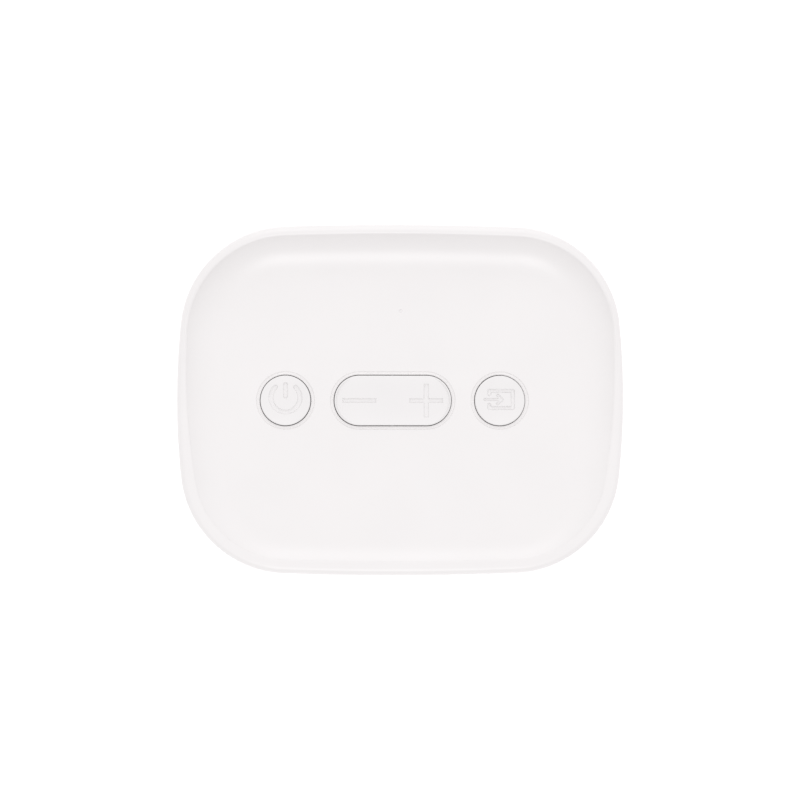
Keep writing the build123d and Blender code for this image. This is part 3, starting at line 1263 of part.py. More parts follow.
# ---------------------------------------------------------------- write every sub-part
NODES = {
    "dish_top": dish_top,
    "power_button": lambda: round_button(POWER_X, power_icon()),
    "volume_rocker": volume_rocker,
    "input_button": lambda: round_button(INPUT_X, input_icon()),
    "rocker_pin": rocker_pin,
    "silicone_keypad": silicone_keypad,
    "button_board": button_board,
    "board_screws": board_screws,
    "microphone": microphone,
    "mic_boot": mic_boot,
    "button_connector": button_connector,
    "button_flex": button_flex,
    "cap_screws": cap_screws,
    "grille_shell": grille_shell,
    "fabric_sleeve": lambda: sleeve(CLOTH_INSET, CLOTH_THICKNESS),
    "rear_panel": rear_panel,
    "rear_screws": rear_screws,
    "base_tray": base_tray,
    "foot_pad": foot_pad,
    "base_screws": base_screws,
    "cabinet_shell": cabinet_shell,
    "front_baffle": front_baffle,
    "baffle_gasket": baffle_gasket,
    "baffle_screws": baffle_screws,
    "port_tube": port_tube,
    "woofer_basket": woofer_basket,
    "woofer_gasket": woofer_gasket,
    "woofer_top_plate": woofer_top_plate,
    "woofer_magnet": woofer_magnet,
    "woofer_yoke": woofer_yoke,
    "voice_coil": voice_coil,
    "woofer_cone": woofer_cone,
    "woofer_dust_cap": woofer_dust_cap,
    "woofer_surround": woofer_surround,
    "woofer_spider": woofer_spider,
    "woofer_screws": woofer_screws,
    "woofer_lead": woofer_lead,
    "tweeter_faceplate": tweeter_faceplate,
    "tweeter_dome": tweeter_dome,
    "tweeter_suspension": tweeter_suspension,
    "tweeter_yoke": tweeter_yoke,
    "tweeter_magnet": tweeter_magnet,
    "tweeter_screws": tweeter_screws,
    "tweeter_lead": tweeter_lead,
    "main_board": main_board,
    "main_board_screws": main_board_screws,
    "main_board_chips": main_board_chips,
    "shield_can": shield_can,
    "heat_sink": heat_sink,
    "aux_jack": aux_jack,
    "ac_inlet": ac_inlet,
    "inlet_pins": inlet_pins,
    "power_board": power_board,
    "power_board_screws": power_board_screws,
    "transformer": transformer,
    "capacitors": capacitors,
    "power_harness": power_harness,
    "antenna_left": lambda: antenna(-1),
    "antenna_right": lambda: antenna(1),
}


def main():
    os.makedirs("parts", exist_ok=True)
    for name, make in NODES.items():
        made = make()
        shapes = made if isinstance(made, list) else [made]
        solids = [solid for shape in shapes for solid in shape.solids()]
        export_step(Compound(children=solids) if len(solids) > 1 else solids[0], f"parts/{name}.step")


main()
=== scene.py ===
import math

import bmesh
import bpy
from mathutils import Matrix, Vector


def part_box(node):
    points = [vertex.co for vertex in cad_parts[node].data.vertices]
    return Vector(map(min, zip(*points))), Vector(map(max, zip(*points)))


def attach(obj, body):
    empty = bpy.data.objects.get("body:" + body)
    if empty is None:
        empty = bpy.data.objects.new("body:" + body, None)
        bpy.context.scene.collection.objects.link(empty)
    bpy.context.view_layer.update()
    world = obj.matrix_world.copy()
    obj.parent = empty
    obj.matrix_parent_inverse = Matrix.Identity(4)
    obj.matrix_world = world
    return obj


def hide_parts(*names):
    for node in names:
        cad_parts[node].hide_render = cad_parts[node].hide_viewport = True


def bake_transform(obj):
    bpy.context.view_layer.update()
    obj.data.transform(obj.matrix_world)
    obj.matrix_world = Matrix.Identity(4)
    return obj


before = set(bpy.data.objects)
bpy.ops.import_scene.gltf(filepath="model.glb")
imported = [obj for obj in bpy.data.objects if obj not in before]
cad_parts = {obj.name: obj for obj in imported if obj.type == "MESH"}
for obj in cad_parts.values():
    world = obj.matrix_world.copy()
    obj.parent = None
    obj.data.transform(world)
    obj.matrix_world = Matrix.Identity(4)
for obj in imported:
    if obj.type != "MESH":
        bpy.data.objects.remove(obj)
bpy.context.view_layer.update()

# ---------------------------------------------------------------- camera
# The speaker is seen from straight above, from about half a metre, with its front towards the viewer.
cap_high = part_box("dish_top")[1]
VIEW_HEIGHT = 0.60  # above the rim
NADIR = (-0.022, -0.014)  # the lens hangs over this point
VIEW_WIDTH = 0.2224  # covered at the rim
AIM_X = -0.0004  # the lens looks a little to the left of the middle
SENSOR_WIDTH = 36.0

camera_data = bpy.data.cameras.new("overhead_camera")
camera = bpy.data.objects.new("overhead_camera", camera_data)
bpy.context.scene.collection.objects.link(camera)
aim = Vector((AIM_X, 0, cap_high.z))
camera.location = Vector((NADIR[0], NADIR[1], cap_high.z + VIEW_HEIGHT))
sight = aim - camera.location
across = sight.cross((0, 1, 0)).normalized()
upwards = across.cross(sight).normalized()
camera.rotation_euler = Matrix((across, upwards, -sight.normalized())).transposed().to_euler()
camera_data.sensor_width = SENSOR_WIDTH
camera_data.lens = SENSOR_WIDTH * sight.length / VIEW_WIDTH
camera_data.clip_start = 0.01
bpy.context.scene.camera = camera

# ---------------------------------------------------------------- light and floor
# A bright white sweep in soft light from all round, with a soft box high in front, one high behind, and a low
# window behind.
SKY_STRENGTH = 0.785
FLOOR_REACH = 4.0
FLOOR_GLOW = 0.25
LAMPS = {  # place, size and power
    "window": ((0, 1.21, 0.87), 1.0, 3.0),
    "back_soft_box": ((0, 0.742, 1.357), 0.45, 1.2),
    "front_soft_box": ((0, -0.742, 1.357), 0.45, 3.0),
}
world = bpy.data.worlds.new("studio")
world.use_nodes = True
sky = world.node_tree.nodes["Background"]
sky.inputs["Color"].default_value = (1.0, 0.985, 0.988, 1)
sky.inputs["Strength"].default_value = SKY_STRENGTH
bpy.context.scene.world = world
bpy.context.scene.view_settings.view_transform = "Standard"


def new_paint(name, roughness, metallic=0.0):
    """A material with the shader values that are the same all over."""
    paint = bpy.data.materials.new(name)
    paint.use_nodes = True
    shader = paint.node_tree.nodes["Principled BSDF"]
    shader.inputs["Roughness"].default_value = roughness
    shader.inputs["Metallic"].default_value = metallic
    return paint


for name, (place, size, power) in LAMPS.items():
    lamp_data = bpy.data.lights.new(name, "AREA")
    lamp_data.shape = "SQUARE"
    lamp_data.size = size
    lamp_data.energy = power
    lamp = bpy.data.objects.new(name, lamp_data)
    bpy.context.scene.collection.objects.link(lamp)
    lamp.location = place
    lamp.rotation_euler = (aim - lamp.location).to_track_quat("-Z", "Y").to_euler()

floor_mesh = bpy.data.meshes.new("floor")
bm = bmesh.new()
bmesh.ops.create_grid(bm, x_segments=1, y_segments=1, size=FLOOR_REACH)
bm.to_mesh(floor_mesh)
bm.free()
floor = bpy.data.objects.new("floor", floor_mesh)
bpy.context.scene.collection.objects.link(floor)
floor_paint = new_paint("floor_paint", 0.9)
floor_shader = floor_paint.node_tree.nodes["Principled BSDF"]
floor_shader.inputs["Base Color"].default_value = (0.95, 0.95, 0.95, 1)
floor_shader.inputs["Emission Color"].default_value = (1, 1, 1, 1)
floor_shader.inputs["Emission Strength"].default_value = FLOOR_GLOW
floor_mesh.materials.append(floor_paint)


# ---------------------------------------------------------------- moulded white plastic
# The cap, keys, base and rear panel are white plastic with a fine spark-eroded texture.
MOTTLE_SCALE = 60


def surface_place(paint, coordinates="Object"):
    """The place on the surface that a pattern is read at."""
    return paint.node_tree.nodes.new("ShaderNodeTexCoord").outputs[coordinates]


def scaled(paint, place, scale):
    """A place that is drawn out or drawn in along each axis."""
    mapping = paint.node_tree.nodes.new("ShaderNodeMapping")
    mapping.inputs["Scale"].default_value = scale
    paint.node_tree.links.new(place, mapping.inputs["Vector"])
    return mapping.outputs["Vector"]


def noise(paint, place, scale, detail):
    texture = paint.node_tree.nodes.new("ShaderNodeTexNoise")
    texture.inputs["Scale"].default_value = scale
    texture.inputs["Detail"].default_value = detail
    paint.node_tree.links.new(place, texture.inputs["Vector"])
    return texture.outputs["Fac"]


def tint(paint, pattern, low, low_colour, high, high_colour):
    """Colours the surface from one colour to another as a pattern rises between two values."""
    ramp = paint.node_tree.nodes.new("ShaderNodeValToRGB")
    for stop, position, colour in zip(ramp.color_ramp.elements, (low, high), (low_colour, high_colour)):
        stop.position = position
        stop.color = (*colour, 1)
    paint.node_tree.links.new(pattern, ramp.inputs["Fac"])
    shader = paint.node_tree.nodes["Principled BSDF"]
    paint.node_tree.links.new(ramp.outputs["Color"], shader.inputs["Base Color"])


def relief(paint, pattern, strength, height):
    """Gives the surface a fine relief that follows a pattern."""
    bump = paint.node_tree.nodes.new("ShaderNodeBump")
    bump.inputs["Strength"].default_value = strength
    bump.inputs["Distance"].default_value = height
    paint.node_tree.links.new(pattern, bump.inputs["Height"])
    shader = paint.node_tree.nodes["Principled BSDF"]
    paint.node_tree.links.new(bump.outputs["Normal"], shader.inputs["Normal"])


def darker(colour, share):
    return [channel * share for channel in colour]


def moulded(name, colour, roughness, grain=0.02, grain_size=0.00035, mottle=0.012):
    """Plastic with a fine moulded grain and a very faint unevenness in colour."""
    paint = new_paint(name, roughness)
    place = surface_place(paint)
    relief(paint, noise(paint, place, 1 / grain_size, 3), grain, grain_size)
    tint(paint, noise(paint, place, MOTTLE_SCALE, 2), 0.3, darker(colour, 1 - mottle), 0.7, colour)
    return paint


def dress(paint, *names):
    """Gives CAD nodes a finish."""
    for name in names:
        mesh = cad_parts[name].data
        mesh.materials.clear()
        mesh.materials.append(paint)


cap_white = moulded("cap_white", (0.90, 0.885, 0.885), 0.32)

# ---------------------------------------------------------------- dished cap
# One moulding: a skirt, a rim that falls towards the front, a swept dish, and wells and collars for the keys.
# It is screwed to the cabinet from below, and its skirt hides the top edge of the cloth.
HALF_WIDTH = cap_high.x
HALF_DEPTH = cap_high.y
CORNER_RADIUS = 0.030
SIDE_BULGE = 0.210
FRONT_BULGE = 0.900
RIM_FALL = 0.0046
RIM_ROLL = 0.0018
RIM_LIP = 0.0005
DISH_DEPTH = 0.006
DISH_SWEEP = 0.0145
DISH_GROWTH = 0.0022
DISH_SHIFT = 0.002
REAR_STEEPNESS = math.radians(76)  # the sweep stands this steep under the rear rim
CAP_WALL = 0.0024
KEY_RADIUS = 0.007
KEY_GAP = 0.0002
WELL_WIDTH = 0.001
WELL_STEP = 0.00032
WELL_DEPTH = 0.00045
COLLAR_DROP = 0.002
COLLAR_WALL = 0.0015
MIC_RADIUS = 0.0004
MIC_CHAMFER = 0.00015
CLOTH_SEAM = 0.0004  # between the cloth and the mouldings over and under it
SKIRT_BREAK = 0.0003
WELL_BREAK = 0.00005
FLOOR_BORDER = 0.001  # flat borders inside the sweep and round the wells and the microphone's hole
WELL_BORDER = 0.0004
MIC_BORDER = 0.0003
floor_level = cap_high.z - DISH_DEPTH
floor_under = floor_level - CAP_WALL
skirt_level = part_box("fabric_sleeve")[1].z + CLOTH_SEAM


def middle_of(node):
    low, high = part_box(node)
    return (low + high) / 2


def arc(places, pivot, turn, steps):
    """Carries a chain of places round a pivot. A place is a point and its outward direction."""
    pivot = Vector((pivot[0], pivot[1], 0))
    scratch = bmesh.new()
    start = scratch.verts.new(places[-1][0])
    bmesh.ops.spin(scratch, geom=[start], cent=pivot, axis=(0, 0, 1), angle=turn, steps=steps)
    for corner in list(scratch.verts)[1:]:
        places.append((corner.co.copy(), (corner.co - pivot).normalized()))
    scratch.free()


def straight(places, end, steps):
    """Carries a chain of places along a straight run."""
    start, outward = places[-1]
    for step in range(steps):
        places.append((start.lerp(end, (step + 1) / steps), outward))


def body_outline():
    """The plan outline of the speaker: eight arcs that run into each other."""
    side = Vector((HALF_WIDTH - SIDE_BULGE, 0))
    front = Vector((0, HALF_DEPTH - FRONT_BULGE))
    to_side, to_front = SIDE_BULGE - CORNER_RADIUS, FRONT_BULGE - CORNER_RADIUS
    between = front - side
    along = (to_side**2 - to_front**2 + between.length**2) / (2 * between.length)
    across = math.sqrt(to_side**2 - along**2)
    unit = between.normalized()
    normal = Vector((-unit.y, unit.x))
    corner = max((side + unit * along + normal * across * sign for sign in (1, -1)), key=sum)
    bow = math.atan2(corner.y - side.y, corner.x - side.x)
    sag = math.atan2(corner.x - front.x, corner.y - front.y)
    turn = math.pi / 2 - bow - sag
    places = [(Vector((HALF_WIDTH, 0, 0)), Vector((1, 0, 0)))]
    arc(places, side, bow, 12)
    arc(places, corner, turn, 28)
    arc(places, front, 2 * sag, 36)
    arc(places, (-corner.x, corner.y), turn, 28)
    arc(places, -side, 2 * bow, 24)
    arc(places, -corner, turn, 28)
    arc(places, -front, 2 * sag, 36)
    arc(places, (corner.x, -corner.y), turn, 28)
    arc(places, side, bow, 12)
    return places[:-1]


def slot_outline(centre, half_run, radius, arc_steps=48, run_steps=1):
    """A circle, or a long hole with round ends."""
    places = [(Vector((centre + half_run, -radius, 0)), Vector((0, -1, 0)))]
    arc(places, (centre + half_run, 0), math.pi, arc_steps)
    if half_run > 0:
        straight(places, Vector((centre - half_run, radius, 0)), run_steps)
    arc(places, (centre - half_run, 0), math.pi, arc_steps)
    if half_run > 0:
        straight(places, Vector((centre + half_run, -radius, 0)), run_steps)
    return places[:-1]


def level_ring(outline, grow, level, forward=0.0):
    """The corners of an outline that is grown outwards and put at a level."""
    return [Vector((spot.x + way.x * grow, spot.y + way.y * grow - forward, level)) for spot, way in outline]


def first_ring(bm, spots):
    ring = [bm.verts.new(spot) for spot in spots]
    for here, there in zip(ring, ring[1:] + ring[:1]):
        bm.edges.new((here, there))
    return ring


def ring_edges(ring, closed=True):
    """The edges that join the corners of a ring, or of an open chain."""
    return [
        next(edge for edge in here.link_edges if edge.other_vert(here) == there)
        for here, there in zip(ring, ring[1:] + (ring[:1] if closed else []))
    ]


def pull(bm, ring, spots, closed=True):
    """Extrudes a ring and puts its copy at the given spots."""
    extruded = bmesh.ops.extrude_edge_only(bm, edges=ring_edges(ring, closed))["geom"]
    fresh = {part for part in extruded if isinstance(part, bmesh.types.BMVert)}
    pulled = []
    for corner, spot in zip(ring, spots):
        copy = next(edge.other_vert(corner) for edge in corner.link_edges if edge.other_vert(corner) in fresh)
        copy.co = spot
        pulled.append(copy)
    return pulled


def pull_all(bm, ring, stations):
    for spots in stations:
        ring = pull(bm, ring, spots)
    return ring


def break_edges(bm, edges, width, segments):
    bmesh.ops.bevel(
        bm,
        geom=edges,
        offset=width,
        offset_type="OFFSET",
        affect="EDGES",
        segments=segments,
        profile=0.5,
        material=-1,
    )


def round_off(bm, ring, width, segments=3):
    """Rounds the edge that a ring of corners lies on."""
    break_edges(bm, ring_edges(ring), width, segments)


def settle(bm, name, paint, body, replaced=(), crease=0.6):
    """Makes the finished mesh an object of the speaker. Edges sharper than the crease angle stay crisp.
    A piece with no body is left unattached."""
    bmesh.ops.remove_doubles(bm, verts=bm.verts, dist=1e-7)
    bmesh.ops.recalc_face_normals(bm, faces=bm.faces)
    for face in bm.faces:
        face.smooth = True
    for edge in bm.edges:
        edge.smooth = len(edge.link_faces) == 2 and edge.calc_face_angle() < crease
    mesh = bpy.data.meshes.new(name)
    bm.to_mesh(mesh)
    bm.free()
    mesh.materials.append(paint)
    piece = bpy.data.objects.new(name, mesh)
    bpy.context.scene.collection.objects.link(piece)
    if body:
        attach(piece, body)
    if replaced:
        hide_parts(*replaced)
    return piece


def rim_level(y):
    return cap_high.z - RIM_FALL * (HALF_DEPTH - y) / (2 * HALF_DEPTH)


def rim_roll_ring(angle):
    """The outer roll of the rim, from the skirt (0) to the rim's flat (a quarter turn)."""
    spots = level_ring(BODY_OUTLINE, -RIM_ROLL * (1 - math.cos(angle)), 0)
    for spot in spots:
        spot.z = rim_level(spot.y) - RIM_ROLL * (1 - math.sin(angle))
    return spots


def dish_ring(climb):
    """A ring of the dish's swept wall, from the rim (1) to the floor (0)."""
    foot = level_ring(BODY_OUTLINE, DISH_GROWTH - DISH_SWEEP, floor_level, DISH_SHIFT)
    spots = []
    for spot, (_, way) in zip(foot, BODY_OUTLINE):
        reach = 0
        for _ in range(4):
            height = rim_level(spot.y + way.y * reach) - floor_level
            tilt = math.acos(1 - height / DISH_SWEEP)
            reach = DISH_SWEEP * math.sin(tilt)
        tilt += (REAR_STEEPNESS - tilt) * (height / DISH_DEPTH) ** 3
        share = math.sin(climb * tilt) / math.sin(tilt)
        rise = (1 - math.cos(climb * tilt)) / (1 - math.cos(tilt))
        spots.append(spot + way * reach * share + Vector((0, 0, height * rise)))
    return spots


def mic_ring(radius):
    """A circle about the microphone."""
    place = Vector((0, middle_of("mic_boot").y, 0))
    return [(spot + place, way) for spot, way in slot_outline(0, 0, radius, 10)]


def span(low, high, steps):
    """Evenly spaced values, both ends included."""
    return [low + (high - low) * step / steps for step in range(steps + 1)]


BODY_OUTLINE = body_outline()
power_x = middle_of("power_button").x
input_x = middle_of("input_button").x
rocker_low, rocker_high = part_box("volume_rocker")
rocker_x = middle_of("volume_rocker").x
rocker_run = (rocker_high.x - rocker_low.x) / 2 - KEY_RADIUS
KEYS = {"power": (power_x, 0.0), "volume": (rocker_x, rocker_run), "input": (input_x, 0.0)}

bm = bmesh.new()
inner_skirt = first_ring(bm, level_ring(BODY_OUTLINE, -CAP_WALL, floor_under))
skirt_foot = pull(bm, inner_skirt, level_ring(BODY_OUTLINE, -CAP_WALL, skirt_level))
skirt_edge = pull(bm, skirt_foot, level_ring(BODY_OUTLINE, 0, skirt_level))
outer = pull_all(bm, skirt_edge, [rim_roll_ring(angle) for angle in span(0, math.pi / 2, 7)])
rim_inner = pull(bm, outer, dish_ring(1))
foot = pull_all(bm, rim_inner, [dish_ring(climb) for climb in span(0.96, 0, 22)])
floor_inset = DISH_SWEEP - DISH_GROWTH + FLOOR_BORDER
foot = pull(bm, foot, level_ring(BODY_OUTLINE, -floor_inset, floor_level, DISH_SHIFT))
hole_radius = KEY_RADIUS + KEY_GAP
top_loops, under_loops = ring_edges(foot), ring_edges(inner_skirt)
well_lips = []
for centre, run in KEYS.values():
    outline = slot_outline(centre, run, hole_radius)
    border = first_ring(bm, level_ring(outline, WELL_WIDTH + WELL_BORDER, floor_level))
    top_loops += ring_edges(border)
    lip = pull(bm, border, level_ring(outline, WELL_WIDTH, floor_level))
    step_foot = pull(bm, lip, level_ring(outline, WELL_WIDTH - WELL_STEP / 2, floor_level - WELL_STEP))
    throat = pull(bm, step_foot, level_ring(outline, 0, floor_level - WELL_DEPTH))
    collar = pull(bm, throat, level_ring(outline, 0, floor_under - COLLAR_DROP))
    collar = pull(bm, collar, level_ring(outline, COLLAR_WALL, floor_under - COLLAR_DROP))
    collar = pull(bm, collar, level_ring(outline, COLLAR_WALL, floor_under))
    under_loops += ring_edges(collar)
    well_lips += [lip, throat]
mic_outline = mic_ring(MIC_RADIUS)
mic_border = first_ring(bm, level_ring(mic_outline, MIC_BORDER, floor_level))
top_loops += ring_edges(mic_border)
mic_mouth = pull(bm, mic_border, level_ring(mic_outline, MIC_CHAMFER, floor_level))
mic_throat = pull(bm, mic_mouth, level_ring(mic_outline, 0, floor_level - MIC_CHAMFER))
mic_end = pull(bm, mic_throat, level_ring(mic_outline, 0, floor_under))
under_loops += ring_edges(mic_end)
bmesh.ops.triangle_fill(bm, edges=top_loops, use_beauty=True, normal=(0, 0, 1))
bmesh.ops.triangle_fill(bm, edges=under_loops, use_beauty=True, normal=(0, 0, -1))
round_off(bm, rim_inner, RIM_LIP)
round_off(bm, skirt_edge, SKIRT_BREAK, 2)
for lip in well_lips:
    round_off(bm, lip, WELL_BREAK, 2)
settle(bm, "dished_cap", cap_white, "housing", ["dish_top"])

# ---------------------------------------------------------------- microphone plug
# A porous white plug, pressed into the sound hole from below, keeps dust off the microphone.
PLUG_DROP = 0.00012
PLUG_LENGTH = 0.0012
PLUG_CLEARANCE = 0.00001
plug_outline = mic_ring(MIC_RADIUS - PLUG_CLEARANCE)
bm = bmesh.new()
plug_top = first_ring(bm, level_ring(plug_outline, 0, floor_level - PLUG_DROP))
bmesh.ops.contextual_create(bm, geom=ring_edges(plug_top))
plug_end = pull(bm, plug_top, level_ring(plug_outline, 0, floor_level - PLUG_DROP - PLUG_LENGTH))
bmesh.ops.contextual_create(bm, geom=ring_edges(plug_end))
plug_white = moulded("plug_white", (0.89, 0.875, 0.875), 0.8, grain=0.2, grain_size=0.00012)
settle(bm, "microphone_plug", plug_white, "housing")


# ---------------------------------------------------------------- keys
# Three white keys with hollowed tops and icons sunk into them. Round keys slide in their collars and are kept
# in by a flange. The long key tips about a steel pin.
KEY_EDGE = 0.0004
EDGE_STEPS = 5
KEY_SCOOP = 0.036
ICON_DEPTH = 0.00045
ICON_STROKE = 0.0012
ICON_WALL = 0.00012
TOP_STEP = 0.00013
KEY_WALL = 0.0013
POST_RADIUS = 0.0019
FLANGE_THICKNESS = 0.0012
FLANGE_OVERLAP = 0.0011
FLANGE_CLEARANCE = 0.0001
ROCKER_POST = 0.0094
ROCKER_HANG = 0.0005  # the long key's wall ends this far below the collar
RUN_STEP = 0.00015
POWER_RING = 0.00405
POWER_GAP = math.radians(44)
POWER_BAR = (0.0004, 0.0036)
POWER_RAISE = 0.0008
VOLUME_ARM = 0.00465


def from_run(x, y, start, end):
    """Distance from a straight stroke's centreline."""
    along = Vector((end[0] - start[0], end[1] - start[1]))
    offset = Vector((x - start[0], y - start[1]))
    share = min(max(offset.dot(along) / along.length_squared, 0), 1)
    return (offset - along * share).length


def from_arc(x, y, radius, gap):
    """Distance from a ring that is open on its far side."""
    around = abs(math.atan2(x, y))
    if around >= gap:
        return abs(math.hypot(x, y) - radius)
    return math.hypot(abs(x) - radius * math.sin(gap), y - radius * math.cos(gap))


def power_icon(x, y):
    """A ring that is open at the back, with a bar in its gap."""
    y -= POWER_RAISE
    ring = from_arc(x, y, POWER_RING, POWER_GAP) - ICON_STROKE / 2
    bar = from_run(x, y, (0, POWER_BAR[0]), (0, POWER_BAR[1])) - ICON_STROKE / 2
    return min(ring, bar)


def flat_bar(x, y, half_length, half_width):
    """Distance outside a square-ended bar along X."""
    return max(abs(x) - half_length, abs(y) - half_width)


def volume_icon(x, y):
    """A minus over the left post and a plus over the right one."""
    minus = flat_bar(x + ROCKER_POST, y, VOLUME_ARM, ICON_STROKE / 2)
    level_arm = flat_bar(x - ROCKER_POST, y, VOLUME_ARM, ICON_STROKE / 2)
    cross_arm = flat_bar(y, x - ROCKER_POST, VOLUME_ARM, ICON_STROKE / 2)
    return min(minus, level_arm, cross_arm)


def input_icon(x, y):
    """A box that is open on its left, with an arrow that goes in."""
    x, y = x - 0.00035, y - 0.0003
    half_stroke, right, top, gap = 0.000475, 0.0033, 0.0024, 0.0015
    tail, tip, barb_back, barb_side = right + 0.0012, 0.0003, 0.00095, 0.00115
    corners = [(-right, gap), (-right, top), (right, top), (right, -top), (-right, -top), (-right, -gap)]
    box = min(from_run(x, y, start, end) for start, end in zip(corners, corners[1:])) - half_stroke
    shaft = from_run(x, y, (-tail, 0), (tip, 0))
    barbs = min(from_run(x, y, (tip, 0), (-barb_back, side * barb_side)) for side in (1, -1))
    return min(box, min(shaft, barbs) - half_stroke * 0.8)


def sunk(distance):
    """How deep an icon is at a distance from its edge, with a slightly sloped wall."""
    share = min(max(0.5 - distance / ICON_WALL, 0), 1)
    return ICON_DEPTH * share * share * (3 - 2 * share)


def make_key(name, node, body, icon, centre, run):
    """A key from its keypad post up to its icon."""
    low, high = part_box(node)
    top = high.z
    fine = slot_outline(centre, run, KEY_RADIUS, 150, max(1, round(2 * run / RUN_STEP)))
    bm = bmesh.new()
    collar_end = floor_under - COLLAR_DROP
    flange_top = collar_end - FLANGE_CLEARANCE
    roof = top - 2 * KEY_WALL
    bottom = flange_top - FLANGE_THICKNESS if run == 0 else collar_end - ROCKER_HANG
    ring = first_ring(bm, level_ring(fine, 0, top - KEY_EDGE))
    under = ring
    if run == 0:
        flange = KEY_GAP + FLANGE_OVERLAP
        under = pull(bm, under, level_ring(fine, 0, flange_top))
        under = pull(bm, under, level_ring(fine, flange, flange_top))
        under = pull(bm, under, level_ring(fine, flange, bottom))
    else:
        under = pull(bm, under, level_ring(fine, 0, bottom))
    under = pull(bm, under, level_ring(fine, -KEY_WALL, bottom))
    under = pull(bm, under, level_ring(fine, -KEY_WALL, roof))
    bmesh.ops.triangle_fill(bm, edges=ring_edges(under), use_beauty=True, normal=(0, 0, -1))
    reach = KEY_RADIUS - KEY_EDGE
    stations = [
        level_ring(fine, KEY_EDGE * (math.cos(angle) - 1), top - KEY_EDGE * (1 - math.sin(angle)))
        for angle in span(0, math.pi / 2, EDGE_STEPS)[1:]
    ]
    steps = int(reach / TOP_STEP)
    for step in range(1, steps + 1):
        stations.append(level_ring(fine, -KEY_EDGE - reach * step / steps, top))
    hollow = reach**2 / (2 * KEY_SCOOP)
    for spots in stations[EDGE_STEPS:]:
        for spot in spots:
            x, y = spot.x - centre, spot.y
            out = y if run else math.hypot(x, y)
            spot.z -= hollow * (1 - (out / reach) ** 2)
            spot.z -= sunk(icon(x, y))
    pull_all(bm, ring, stations)
    for offset in (0,) if run == 0 else (-ROCKER_POST, ROCKER_POST):
        post = slot_outline(centre + offset, 0, POST_RADIUS, 20)
        ring = first_ring(bm, level_ring(post, 0, roof + KEY_WALL / 2))
        bmesh.ops.contextual_create(bm, geom=ring_edges(ring))
        ring = pull(bm, ring, level_ring(post, 0, low.z))
        bmesh.ops.contextual_create(bm, geom=ring_edges(ring))
    settle(bm, name, key_white, body, [node], crease=0.9)


key_white = moulded("key_white", (0.876, 0.864, 0.866), 0.32, grain=0.015)
make_key("power_key_cap", "power_button", "power_key", power_icon, power_x, 0.0)
make_key("volume_key_cap", "volume_rocker", "volume_key", volume_icon, rocker_x, rocker_run)
make_key("input_key_cap", "input_button", "input_key", input_icon, input_x, 0.0)

# ---------------------------------------------------------------- cloth sleeve
# A woven polyester sleeve, stretched over the slotted shell. Its edges are tucked into the seams at the cap,
# the base and the rear panel, so that no cut thread shows.
CLOTH_INSET = 0.0007
CLOTH_THICKNESS = 0.0008
CLOTH_CLEARANCE = 0.0001
CLOTH_TUCK = 0.0006
PANEL_GAP = 0.0284
THREAD_PITCH = 0.00085
END_STEP = 0.0004  # the sleeve's ends take the place of any corner nearer than this
REAR_PIVOT_Y = HALF_DEPTH - FRONT_BULGE


def rear_place(x):
    """A place on the back of the outline."""
    spot = Vector((x, REAR_PIVOT_Y + math.sqrt(FRONT_BULGE**2 - x**2), 0))
    return spot, (spot - Vector((0, REAR_PIVOT_Y, 0))).normalized()


def front_outline(half_gap):
    """The outline without the strip for the rear panel: an open chain round the other three sides."""
    kept = [place for place in BODY_OUTLINE if place[0].y < 0 or abs(place[0].x) > half_gap + END_STEP]
    left = next(index for index, (spot, _) in enumerate(kept) if spot.x < 0)
    return [rear_place(-half_gap), *kept[left:], *kept[:left], rear_place(half_gap)]


def calculate(paint, operation, *terms):
    """One step of arithmetic in a pattern."""
    step = paint.node_tree.nodes.new("ShaderNodeMath")
    step.operation = operation
    for socket, term in zip(step.inputs, terms):
        if isinstance(term, (int, float)):
            socket.default_value = term
        else:
            paint.node_tree.links.new(term, socket)
    return step.outputs[0]


def woven(name, colour, hollow_shade_colour, pitch, coordinates="UV", roughness=0.85):
    """Threads that pass over and under each other, each a little lighter or darker than the next. The colour
    darkens towards the hollows where the threads dip: painted shade.
    """
    paint = new_paint(name, roughness)
    place = scaled(paint, surface_place(paint, coordinates), (1 / pitch, 1 / pitch, 1 / pitch))
    split = paint.node_tree.nodes.new("ShaderNodeSeparateXYZ")
    paint.node_tree.links.new(place, split.inputs["Vector"])
    along = split.outputs["Y" if coordinates == "UV" else "Z"]
    warp = calculate(paint, "SINE", calculate(paint, "MULTIPLY", split.outputs["X"], math.pi))
    weft = calculate(paint, "SINE", calculate(paint, "MULTIPLY", along, math.pi))
    over = calculate(paint, "MULTIPLY", calculate(paint, "MULTIPLY", warp, weft), 0.35)
    warp_share = calculate(paint, "ADD", over, 0.65)
    weft_share = calculate(paint, "SUBTRACT", 0.65, over)
    warp_height = calculate(paint, "MULTIPLY", calculate(paint, "ABSOLUTE", warp), warp_share)
    weft_height = calculate(paint, "MULTIPLY", calculate(paint, "ABSOLUTE", weft), weft_share)
    height = calculate(paint, "MAXIMUM", warp_height, weft_height)
    slubs = noise(paint, scaled(paint, place, (1, 0.25, 1)), 0.7, 2)
    shade_and_slubs = calculate(paint, "ADD", height, calculate(paint, "MULTIPLY", slubs, 0.35))
    # painted shade: the hollows between the threads take the darker colour, and the slubs vary the tone at
    # random
    tint(paint, shade_and_slubs, 0.45, hollow_shade_colour, 0.95, colour)
    relief(paint, height, 0.7, pitch * 0.3)
    shader = paint.node_tree.nodes["Principled BSDF"]
    shader.inputs["Sheen Weight"].default_value = 0.25
    shader.inputs["Sheen Roughness"].default_value = 0.5
    return paint
